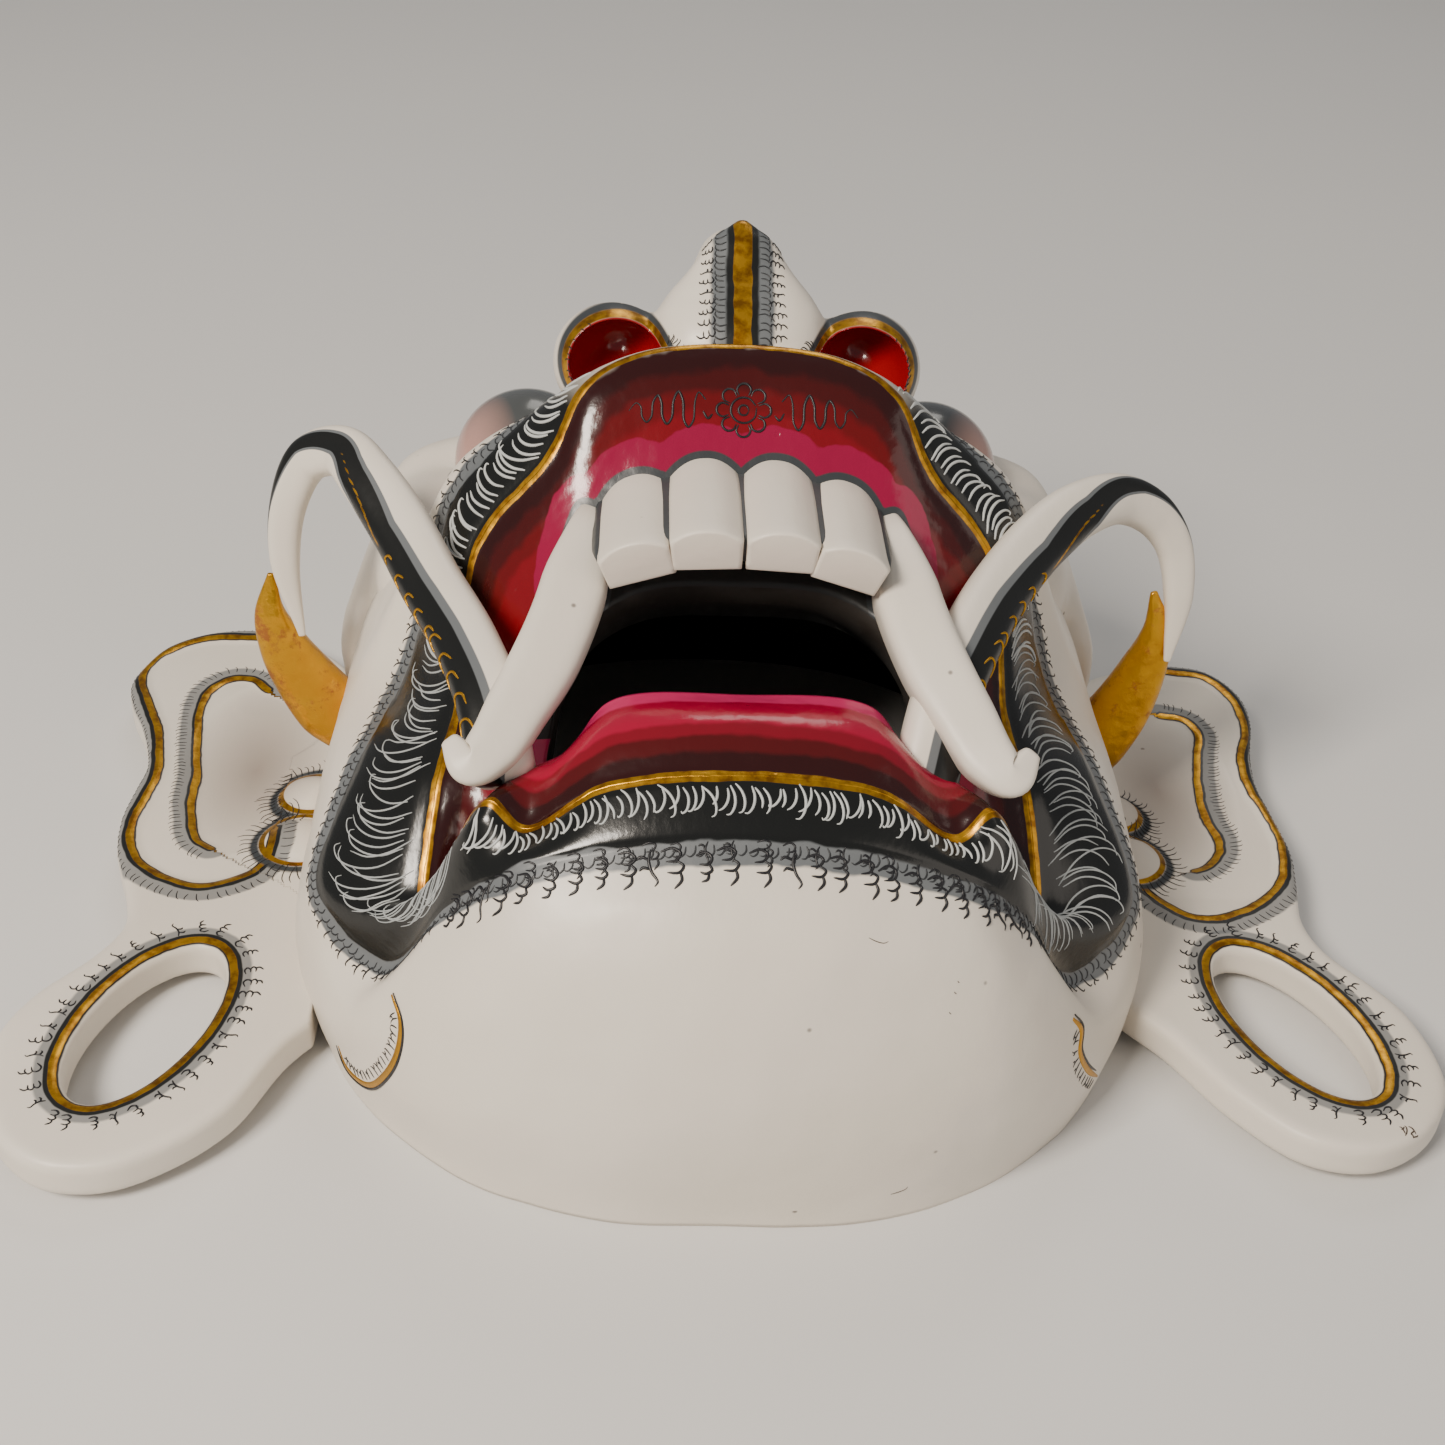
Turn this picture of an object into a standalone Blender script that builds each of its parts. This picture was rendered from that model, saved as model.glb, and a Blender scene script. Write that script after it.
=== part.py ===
"""A carved Rangda mask, lying on the back rim of its hollow, face up.

Axes: +X is the viewer's right, +Y runs from chin to forehead, +Z is the way the face looks.
The origin is on the table, below the middle of the footprint.
Lengths are in metres. Carved forms are written in millimetres of a face that is 224 wide,
264 long and 184 deep, and point() scales them to the driving dimensions below.
"""
import math

import bmesh
import bpy
from mathutils import Vector

# The block that the face is carved from
FACE_WIDTH = 0.224
FACE_LENGTH = 0.264
FACE_DEPTH = 0.184

# Walls and edges
WALL = 0.011
RIM_LAND = 0.010
LIP_THICKNESS = 0.011
LIP_RECESS = 0.004
JOINT_GAP = 0.0003

# Teeth, fangs and tusks
TOOTH_WIDTH = 0.0195
TOOTH_HEIGHT = 0.0175
FANG_WIDTH = 0.0135
FANG_THICKNESS = 0.013
TUSK_WIDTH = 0.0160
TUSK_THICKNESS = 0.0125
CRESCENT_WIDTH = 0.0175
CRESCENT_THICKNESS = 0.012

# Nose and eyes
NOSTRIL_WIDTH = 0.025
NOSTRIL_HEIGHT = 0.021
NOSTRIL_DEPTH = 0.024
EYE_RADIUS = 0.0205

# Ears
EAR_THICKNESS = 0.011
EAR_CLEAR_OF_TABLE = 0.003
LOBE_HOLE_LENGTH = 0.059
LOBE_HOLE_WIDTH = 0.029
EAR_EDGE_ROUNDING = 0.0022
EAR_BOWL_DEPTH = 0.003
EAR_BOWL_RISE = 0.006

# How finely the forms are cut
SIDES_PER_SPOKE = 3
CUTS_PER_RING = 3
CUTS_PER_HOLLOW = 2
SECTION_SIDES = 8
BLEND_GRAIN = 0.0028
BLEND_SHARE_KEPT = 0.11

# The carved form of one half, in millimetres. Each spoke runs outward over the face:
# mouth edge, lip, gold border of the mouth, outer edge of the hair band, cheek, side, back rim.
SPOKES = {
    "upper lip, middle": [
        (0, -30, 117), (0, -8, 140), (0, 15, 161), (0, 32, 147), (0, 75, 122), (0, 112, 84), (0, 128, 0)],
    "upper lip, under the nostril": [
        (22, -31, 116), (20, -9, 139), (26, 12, 159), (30, 30, 144), (30, 72, 118), (32, 110, 82), (36, 126, 0)],
    "upper lip, outer bend": [
        (34, -36, 112), (32, -12, 134), (39, 6, 153), (47, 21, 141), (56, 58, 94), (60, 104, 78), (68, 116, 0)],
    "upper lip, falling side": [
        (41, -44, 106), (41, -20, 124), (48, -3, 137), (62, 14, 135), (76, 48, 98), (88, 84, 72), (94, 92, 0)],
    "corner of the mouth": [
        (44, -52, 98), (52, -32, 106), (66, -10, 115), (74, 9, 124), (88, 18, 92), (104, 50, 58), (110, 58, 0)],
    "cheek beside the tusk": [
        (45, -58, 92), (58, -46, 88), (69, -38, 86), (86, -12, 79), (101, -2, 66), (110, 12, 36), (112, 20, 0)],
    "cheek beside the pouch": [
        (46, -62, 88), (62, -60, 76), (73, -58, 76), (95, -40, 68), (106, -30, 54), (113, -20, 26), (112, -18, 0)],
    "bottom of the pouch": [
        (46, -66, 86), (66, -72, 62), (75, -80, 56), (103, -66, 48), (109, -60, 36), (112, -56, 18), (109, -54, 0)],
    "pouch beside the chin": [
        (45, -68, 88), (60, -76, 78), (68, -86, 74), (84, -87, 42), (96, -87, 28), (100, -84, 14), (99, -81, 0)],
    "lower lip, hump": [
        (43, -69, 92), (54, -78, 92), (58, -88, 93), (67, -97, 70), (80, -102, 46), (87, -102, 20), (84, -102, 0)],
    "lower lip, dip": [
        (40, -69, 95), (46, -80, 96), (50, -92, 88), (52, -102, 84), (60, -116, 62), (65, -121, 28), (63, -119, 0)],
    "lower lip, side": [
        (31, -65, 106), (31, -78, 107), (31, -91, 100), (30, -103, 92), (31, -121, 74), (34, -131, 34), (34, -130, 0)],
    "lower lip, middle": [
        (0, -64, 108), (0, -78, 111), (0, -91, 104), (0, -103, 95), (0, -123, 77), (0, -134, 36), (0, -132, 0)],
}
TOWARD_CHIN = Vector((0, -0.8, 0.6))
FACE_FRONT = Vector((0, 0, 1))
NOMINAL = Vector((224, 264, 184))
CARVED = Vector((FACE_WIDTH / NOMINAL.x, FACE_LENGTH / NOMINAL.y, FACE_DEPTH / NOMINAL.z))


def point(x, y, z):
    """A carved point in millimetres of the nominal face, as a place in metres."""
    return Vector((x * CARVED.x, y * CARVED.y, z * CARVED.z))


def mirrored(place):
    return Vector((-place.x, place.y, place.z))


def through(points, cuts):
    """Points of a smooth curve through all but the first and last, which only steer it."""
    smooth = []
    for a, b, c, d in zip(points, points[1:], points[2:], points[3:]):
        knots = [0.0]
        for start, end in ((a, b), (b, c), (c, d)):
            knots.append(knots[-1] + max((end - start).length, 1e-6) ** 0.5)
        for cut in range(cuts):
            t = knots[1] + (knots[2] - knots[1]) * cut / cuts
            level = [a, b, c, d]
            for span in (1, 2, 2):
                if span == 1:
                    level = [blend(level[i], level[i + 1], knots[i], knots[i + 1], t) for i in range(3)]
                elif len(level) == 3:
                    level = [blend(level[i], level[i + 1], knots[i], knots[i + 2], t) for i in range(2)]
                else:
                    level = [blend(level[0], level[1], knots[1], knots[2], t)]
            smooth.append(level[0])
    smooth.append(points[-2].copy())
    return smooth


def blend(a, b, start, end, t):
    return a.lerp(b, (t - start) / (end - start))


def open_curve(points, cuts):
    """A smooth curve through every point, which runs straight on at its ends."""
    before = points[0] * 2 - points[1]
    after = points[-1] * 2 - points[-2]
    return through([before] + points + [after], cuts)


def half_ring(points, cuts):
    """A smooth curve that meets its mirror image squarely at both ends."""
    return through([mirrored(points[1])] + points + [mirrored(points[-2])], cuts)


def new_object(name, mesh_builder, collection):
    """An object made from a bmesh with its faces turned outward."""
    bmesh.ops.recalc_face_normals(mesh_builder, faces=mesh_builder.faces)
    mesh = bpy.data.meshes.new(name)
    mesh_builder.to_mesh(mesh)
    mesh_builder.free()
    made = bpy.data.objects.new(name, mesh)
    collection.objects.link(made)
    return made


def mirror_half(mesh_builder):
    """Adds the other half of a form that is open at the plane X = 0."""
    copy = bmesh.ops.duplicate(mesh_builder, geom=mesh_builder.verts[:] + mesh_builder.faces[:])
    for item in copy["geom"]:
        if isinstance(item, bmesh.types.BMVert):
            item.co.x = -item.co.x
    bmesh.ops.remove_doubles(mesh_builder, verts=mesh_builder.verts, dist=1e-5)


def lofted_block(name, rings, cuts, collection, swell=0.0):
    """A solid through half rings from its top to its bottom, mirrored, closed and swollen a little."""
    smooth_rings = [half_ring(ring, SIDES_PER_SPOKE) for ring in rings]
    columns = [open_curve(list(column), cuts) for column in zip(*smooth_rings)]
    mesh_builder = bmesh.new()
    grid = [[mesh_builder.verts.new(place) for place in column] for column in columns]
    for left, right in zip(grid, grid[1:]):
        for k in range(len(left) - 1):
            mesh_builder.faces.new((left[k], left[k + 1], right[k + 1], right[k]))
    for vertex in grid[0] + grid[-1]:
        vertex.co.x = 0.0
    mirror_half(mesh_builder)
    bmesh.ops.recalc_face_normals(mesh_builder, faces=mesh_builder.faces)
    mesh_builder.normal_update()
    up_vote = sum(face.normal.z * face.calc_area() for face in mesh_builder.faces)
    pushed = [vertex.co + vertex.normal * math.copysign(swell, up_vote) for vertex in mesh_builder.verts]
    for vertex, place in zip(mesh_builder.verts, pushed):
        vertex.co = place
    if swell:
        lower_rim(mesh_builder, -FACE_DEPTH / 4)
    bmesh.ops.holes_fill(mesh_builder, edges=mesh_builder.edges, sides=0)
    return new_object(name, mesh_builder, collection)


def lower_rim(mesh_builder, floor):
    """Carries the lower open edge of a form straight down."""
    rim = [edge for edge in mesh_builder.edges if edge.is_boundary and edge.verts[0].co.z < FACE_DEPTH / 4]
    skirt = bmesh.ops.extrude_edge_only(mesh_builder, edges=rim)
    for item in skirt["geom"]:
        if isinstance(item, bmesh.types.BMVert):
            item.co.z = floor


def carved_cage():
    return [[point(*place) for place in spoke] for spoke in SPOKES.values()]


def face_block(collection, swell=0.0):
    """The face's outer form as a solid block. A swollen one cuts what fits against it."""
    rings = [list(ring) for ring in zip(*carved_cage())]
    return lofted_block("face", rings, CUTS_PER_RING, collection, swell)


def hollow_block(collection):
    """What is cut away behind the face, and through the mouth."""
    cage = carved_cage()
    below = [inward(spoke[6], RIM_LAND, 0.0) - Vector((0, 0, WALL)) for spoke in cage]
    rim = [inward(spoke[6], RIM_LAND, 0.0) for spoke in cage]
    side = [inward(spoke[5], WALL, 0.2) for spoke in cage]
    cheek = [inward(spoke[4], WALL, 0.75) for spoke in cage]
    lip = [spoke[1] - Vector((0, 0, WALL + LIP_THICKNESS)) for spoke in cage]
    rings = [evened(ring) for ring in (lip, cheek, side, rim, below)]
    mouth = [spoke[0] for spoke in cage]
    back = [place + Vector((0, LIP_RECESS, -LIP_THICKNESS)) for place in mouth]
    front = [place + FACE_FRONT * LIP_THICKNESS for place in mouth]
    return lofted_block("hollow", [front, mouth, back] + rings, CUTS_PER_HOLLOW, collection)


def inward(place, distance, rise):
    """A place moved inward from the face's side, and back by a share of the way."""
    toward = Vector((-place.x, -place.y, 0)).normalized()
    return place + (toward - Vector((0, 0, rise))) * distance


def evened(ring):
    """The ring with its folds softened, because the hollow is cut plainer than the face."""
    for _ in range(2):
        steered = [mirrored(ring[1])] + ring + [mirrored(ring[-2])]
        ring = [(a + b * 2 + c) / 4 for a, b, c in zip(steered, steered[1:], steered[2:])]
    return ring


def sweep(name, path, widths, heights, facing, squareness, collection, cuts=3):
    """A solid bar along a smooth path. Its section is a rounded rectangle that faces one way."""
    sizes = [Vector((w, h, 0)) for w, h in zip(widths, heights)]
    spine = open_curve([point(*place) for place in path], cuts)
    spread = open_curve(sizes, cuts)
    mesh_builder = bmesh.new()
    sections = []
    for index, place in enumerate(spine):
        behind = spine[max(index - 1, 0)]
        ahead = spine[min(index + 1, len(spine) - 1)]
        along = (ahead - behind).normalized()
        up = (facing - along * facing.dot(along)).normalized()
        across = along.cross(up)
        section = []
        for side in range(SECTION_SIDES):
            angle = math.tau * side / SECTION_SIDES
            reach = Vector((power(math.cos(angle), squareness), power(math.sin(angle), squareness)))
            offset = across * reach.x * spread[index].x / 2 + up * reach.y * spread[index].y / 2
            section.append(mesh_builder.verts.new(place + offset))
        sections.append(section)
    for near, far in zip(sections, sections[1:]):
        for side in range(SECTION_SIDES):
            following = (side + 1) % SECTION_SIDES
            mesh_builder.faces.new((near[side], near[following], far[following], far[side]))
    mesh_builder.faces.new(sections[0])
    mesh_builder.faces.new(sections[-1])
    return new_object(name, mesh_builder, collection)


def power(value, squareness):
    """A signed power, which turns a circle into a rounded square."""
    return math.copysign(abs(value) ** squareness, value)


def ball(name, centre, radii, collection, segments=16, rings=10):
    """A sphere stretched to three radii."""
    mesh_builder = bmesh.new()
    bmesh.ops.create_uvsphere(mesh_builder, u_segments=segments, v_segments=rings, radius=1.0)
    for vertex in mesh_builder.verts:
        vertex.co = centre + Vector((vertex.co.x * radii.x, vertex.co.y * radii.y, vertex.co.z * radii.z))
    return new_object(name, mesh_builder, collection)


def join_to(target, tool, operation):
    """Applies an exact Boolean and removes the tool."""
    step = target.modifiers.new(operation.lower(), "BOOLEAN")
    step.operation = operation
    step.solver = "EXACT"
    step.object = tool
    bpy.context.view_layer.update()
    evaluated = target.evaluated_get(bpy.context.evaluated_depsgraph_get())
    result = bpy.data.meshes.new_from_object(evaluated)
    target.modifiers.clear()
    target.data = result
    bpy.data.objects.remove(tool)


NOSE_UNDERSIDE = Vector((0, -0.63, 0.78))
SEPTUM_PATH = [(0, 24, 147), (0, 27, 154), (0, 34, 159), (0, 38, 165), (0, 41, 171), (0, 44.5, 178), (0, 46, 182)]
BRIDGE_PATH = [(0, 46, 176), (0, 56, 166), (0, 74, 146), (0, 90, 118), (0, 98, 92)]


def upper_face(collection):
    """Nose, eyes, brows and temples, blended into one carved form, with the nostrils cut in."""
    septum_widths = [point(width, 0, 0).x for width in (34, 44, 45, 38, 27, 16, 4)]
    septum_heights = [point(height, 0, 0).x for height in (22, 27, 28, 24, 16, 10, 4)]
    bridge_widths = [point(width, 0, 0).x for width in (8, 22, 30, 34, 34)]
    carved = sweep("septum", SEPTUM_PATH, septum_widths, septum_heights, NOSE_UNDERSIDE, 0.85, collection)
    added = [
        sweep("bridge", BRIDGE_PATH, bridge_widths, bridge_widths, FACE_FRONT, 0.85, collection),
        ball("core", point(0, 56, 132), point(26, 34, 24), collection),
        ball("forehead", point(0, 78, 66), point(84, 46, 46), collection),
    ]
    for side in (-1, 1):
        added.append(ball("wing", point(side * 33, 34, 147), point(16, 16, 16), collection))
        added.append(ball("wing_back", point(side * 27, 52, 132), point(18, 24, 18), collection))
        added.append(ball("eye", point(side * 57, 58, 104), Vector((EYE_RADIUS,) * 3), collection))
        added.append(ball("temple", point(side * 84, 52, 74), point(18, 30, 26), collection))
        added.append(brow(side, collection))
        added.append(temple_edge(side, collection))
    for other in added:
        join_to(carved, other, "UNION")
    blend_surface(carved)
    for side in (-1, 1):
        radii = Vector((NOSTRIL_WIDTH / 2, NOSTRIL_DEPTH, NOSTRIL_HEIGHT / 2))
        join_to(carved, ball("nostril", point(side * 32, 16, 150), radii, collection), "DIFFERENCE")
    return carved


def blend_surface(carved):
    """Melts the joins between forms, the way a carver runs one form into the next."""
    remesh = carved.modifiers.new("one skin", "REMESH")
    remesh.mode = "VOXEL"
    remesh.voxel_size = BLEND_GRAIN
    smooth = carved.modifiers.new("worked over", "SMOOTH")
    smooth.factor = 0.5
    smooth.iterations = 5
    thin = carved.modifiers.new("fewer facets", "DECIMATE")
    thin.ratio = BLEND_SHARE_KEPT
    bpy.context.view_layer.update()
    evaluated = carved.evaluated_get(bpy.context.evaluated_depsgraph_get())
    carved.data = bpy.data.meshes.new_from_object(evaluated)
    carved.modifiers.clear()


def both_sides(path, side):
    return [(side * x, y, z) for x, y, z in path]


BROW_PATH = [(14, 88, 100), (36, 86, 98), (60, 82, 94), (76, 77, 92), (89, 73, 89), (98, 60, 72)]
TEMPLE_EDGE_PATH = [(94, 70, 88), (100, 55, 76), (105, 42, 60), (106, 30, 44)]


def brow(side, collection):
    widths = [point(width, 0, 0).x for width in (14, 19, 20, 20, 19, 12)]
    return sweep("brow", both_sides(BROW_PATH, side), widths, widths, FACE_FRONT, 0.9, collection, cuts=2)


def temple_edge(side, collection):
    """The worn edge of the block that stands up beside the temple, behind the tusk's ring."""
    widths = [point(width, 0, 0).x for width in (6, 10, 12, 6)]
    return sweep("temple_edge", both_sides(TEMPLE_EDGE_PATH, side), widths, widths, FACE_FRONT, 0.9, collection, cuts=2)


def tooth(number, side, collection):
    """An upper front tooth: a rounded bar with a flat biting face."""
    x = (10, 28)[number]
    top = (141, 135)[number]
    lean = (0, 2)[number]
    middle = top - TOOTH_HEIGHT * 500
    path = [(x - lean, 0, middle), (x - lean, -8, middle), (x, -24, middle), (x + lean, -41, middle - 1)]
    widths = [TOOTH_WIDTH * share for share in (0.5, 0.9, 1.0, 1.0)]
    heights = [TOOTH_HEIGHT * share for share in (0.4, 0.85, 1.0, 0.95)]
    return sweep("tooth", both_sides(path, side), widths, heights, FACE_FRONT, 0.6, collection)


FANG_PATH = [(36, -6, 126), (39, -20, 124), (42, -42, 117), (49, -60, 109), (58, -78, 99)]
# The two sides were carved by hand and differ by a few millimetres
TUSK_PATHS = {
    -1: [(56, -76, 93), (60, -60, 102), (67, -42, 107), (77, -22, 111), (86, -5, 117), (95, 8, 123),
         (103, 18, 126), (113, 23, 121), (119, 22, 109), (121, 19, 92), (117, 13, 72)],
    1: [(44, -74, 91), (49, -60, 105), (57, -42, 111), (67, -22, 114), (80, -2, 117), (92, 11, 119),
        (105, 20, 118), (116, 23, 112), (123, 22, 103), (126, 18, 89), (125, 13, 71)],
}
CRESCENT_PATHS = {
    -1: [(107, 24, 31), (113, 21, 43), (118, 20, 52), (123, 18, 64), (126, 17, 76), (125, 18, 88)],
    1: [(106, 22, 25), (111, 21, 37), (116, 20, 48), (120, 19, 62), (122, 18, 77), (119, 18, 90)],
}


def fang(side, collection):
    """A long fang whose tip curls outward."""
    widths = [FANG_WIDTH * share for share in (0.3, 0.7, 1.0, 1.0, 0.9)]
    heights = [FANG_THICKNESS * share for share in (0.5, 0.8, 1.0, 1.0, 0.8)]
    bar = sweep("fang", both_sides(FANG_PATH, side), widths, heights, TOWARD_CHIN, 0.6, collection)
    hook = ball("fang_hook", point(side * 62, -77, 101), point(7, 5.5, 6), collection, segments=12, rings=8)
    join_to(bar, hook, "UNION")
    return bar


def tusk(side, collection):
    shares = (1.0, 1.0, 1.0, 1.0, 1.0, 0.95, 0.85, 0.75, 0.62, 0.5, 0.12)
    widths = [TUSK_WIDTH * share for share in shares]
    heights = [TUSK_THICKNESS * share for share in shares]
    return sweep("tusk", both_sides(TUSK_PATHS[side], side), widths, heights, TOWARD_CHIN, 0.7, collection, cuts=2)


def crescent(side, collection):
    shares = (0.8, 1.1, 1.0, 0.8, 0.5, 0.12)
    widths = [CRESCENT_WIDTH * share for share in shares]
    heights = [CRESCENT_THICKNESS * share for share in shares]
    return sweep("crescent", both_sides(CRESCENT_PATHS[side], side), widths, heights, TOWARD_CHIN, 0.8, collection, cuts=2)


def mask(collection):
    """The whole carved face as one solid."""
    face = face_block(collection)
    join_to(face, upper_face(collection), "UNION")
    join_to(face, hollow_block(collection), "DIFFERENCE")
    for side in (-1, 1):
        for number in (0, 1):
            join_to(face, tooth(number, side, collection), "UNION")
        join_to(face, fang(side, collection), "UNION")
        join_to(face, tusk(side, collection), "UNION")
        join_to(face, crescent(side, collection), "UNION")
    face.name = "mask"
    return face


# Each ear's outline in plan from its top root round the rim and the lobe, and back inside the face
EAR_OUTLINES = {
    -1: [(98, 50), (106, 66), (124, 94), (148, 106), (157, 106), (167, 103), (177, 95), (182, 84), (184, 73),
         (181, 61), (175, 48), (170, 30), (171, 18), (172, 5), (170, -10), (163, -30), (161, -42), (166, -54),
         (178, -70), (183, -84), (181, -100), (175, -117), (163, -127), (148, -128), (134, -121), (121, -108),
         (111, -86), (98, -66), (90, -10)],
    1: [(98, 44), (106, 60), (122, 88), (145, 99), (157, 99), (165, 97), (171, 91), (175, 81), (175, 68),
        (170, 48), (168, 33), (169, 18), (170, 0), (168, -14), (165, -32), (168, -44), (177, -57), (183, -68),
        (186, -86), (184, -98), (175, -110), (160, -117), (144, -114), (129, -99), (116, -78), (104, -62),
        (90, -10)],
}
TRAGUS_LOBES = [(119, 17, 9), (119, -5, 11)]
LOBE_CENTRES = {-1: (147, -79), 1: (151.5, -71.5)}
LOBE_LEANS = {-1: math.radians(20), 1: math.radians(23)}


def ear(name, side, collection):
    """A flat ear plate with a pierced lobe, cut to fit against the side of the face."""
    outline = [point(side * x, y, 0) for x, y in EAR_OUTLINES[side]]
    steered = [outline[-1]] + outline + [outline[0], outline[1]]
    edge = through(steered, 2)[:-1]
    middle = point(side * LOBE_CENTRES[side][0], LOBE_CENTRES[side][1], 0)
    lean = LOBE_LEANS[side]
    hole = []
    for step in range(24):
        angle = math.tau * step / 24
        along = math.cos(angle) * LOBE_HOLE_LENGTH / 2
        across = math.sin(angle) * LOBE_HOLE_WIDTH / 2
        x = along * math.sin(lean) + across * math.cos(lean)
        y = -along * math.cos(lean) + across * math.sin(lean)
        hole.append(middle + Vector((side * x, y, 0)))
    curve = bpy.data.curves.new(name, "CURVE")
    curve.dimensions = "2D"
    curve.fill_mode = "BOTH"
    curve.extrude = EAR_THICKNESS / 2 - EAR_EDGE_ROUNDING
    curve.bevel_depth = EAR_EDGE_ROUNDING
    curve.bevel_resolution = 0
    curve.offset = -EAR_EDGE_ROUNDING
    for places in (edge, hole):
        spline = curve.splines.new("POLY")
        spline.points.add(len(places) - 1)
        spline.use_cyclic_u = True
        for target, place in zip(spline.points, places):
            target.co = (place.x, place.y, 0, 1)
    drawn = bpy.data.objects.new(name + "_outline", curve)
    drawn.location.z = EAR_CLEAR_OF_TABLE + EAR_THICKNESS / 2
    collection.objects.link(drawn)
    bpy.context.view_layer.update()
    evaluated = drawn.evaluated_get(bpy.context.evaluated_depsgraph_get())
    mesh = bpy.data.meshes.new_from_object(evaluated)
    mesh.transform(drawn.matrix_world)
    plate = bpy.data.objects.new(name, mesh)
    bpy.data.objects.remove(drawn)
    collection.objects.link(plate)
    mesh_builder = bmesh.new()
    mesh_builder.from_mesh(mesh)
    bmesh.ops.remove_doubles(mesh_builder, verts=mesh_builder.verts, dist=1e-5)
    bmesh.ops.recalc_face_normals(mesh_builder, faces=mesh_builder.faces)
    mesh_builder.to_mesh(mesh)
    mesh_builder.free()
    top = EAR_CLEAR_OF_TABLE + EAR_THICKNESS
    bowl = point(side * 142, 34, 0) + Vector((0, 0, top + EAR_BOWL_RISE))
    bowl_radii = point(19, 46, 0) + Vector((0, 0, EAR_BOWL_RISE + EAR_BOWL_DEPTH))
    join_to(plate, ball("bowl", bowl, bowl_radii, collection), "DIFFERENCE")
    for x, y, reach in TRAGUS_LOBES:
        lobe = point(side * x, y, 0) + Vector((0, 0, top - EAR_BOWL_DEPTH))
        radii = point(reach, reach, 0) + Vector((0, 0, EAR_BOWL_DEPTH * 2))
        join_to(plate, ball("tragus", lobe, radii, collection), "UNION")
    join_to(plate, face_block(collection, JOINT_GAP), "DIFFERENCE")
    return plate


def paint(target, name, colour, roughness):
    """Gives an object its painted wood."""
    material = bpy.data.materials.get(name) or bpy.data.materials.new(name)
    material.use_nodes = True
    shader = material.node_tree.nodes["Principled BSDF"]
    shader.inputs["Base Color"].default_value = colour
    shader.inputs["Roughness"].default_value = roughness
    shader.inputs["Metallic"].default_value = 0.0
    target.data.materials.clear()
    target.data.materials.append(material)


def set_on_origin(pieces):
    """Moves everything so that the origin is below the middle of the footprint."""
    places = [vertex.co for piece in pieces for vertex in piece.data.vertices]
    middle_x = (min(place.x for place in places) + max(place.x for place in places)) / 2
    middle_y = (min(place.y for place in places) + max(place.y for place in places)) / 2
    lowest = min(place.z for place in places)
    for piece in pieces:
        for vertex in piece.data.vertices:
            vertex.co -= Vector((middle_x, middle_y, lowest))


def main():
    for old in list(bpy.data.objects):
        bpy.data.objects.remove(old)
    collection = bpy.data.collections.new("rangda_mask")
    bpy.context.scene.collection.children.link(collection)
    face = mask(collection)
    ears = [ear("left_ear", -1, collection), ear("right_ear", 1, collection)]
    paint(face, "painted face", (0.80, 0.75, 0.70, 1), 0.55)
    for plate in ears:
        paint(plate, "painted ear", (0.78, 0.72, 0.66, 1), 0.6)
    set_on_origin([face] + ears)


main()
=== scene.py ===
"""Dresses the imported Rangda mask: finer carving, gilding, lacquer and brush work.

Carved forms are written in millimetres of the carver's own frame: X to the viewer's right,
Y from chin to forehead, Z the way the face looks. placed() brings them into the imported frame.
"""
import math

import bmesh
import bpy
import numpy as np
from mathutils import Matrix, Vector
from mathutils.bvhtree import BVHTree
from mathutils.kdtree import KDTree
from mathutils.noise import noise as noise_at


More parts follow.
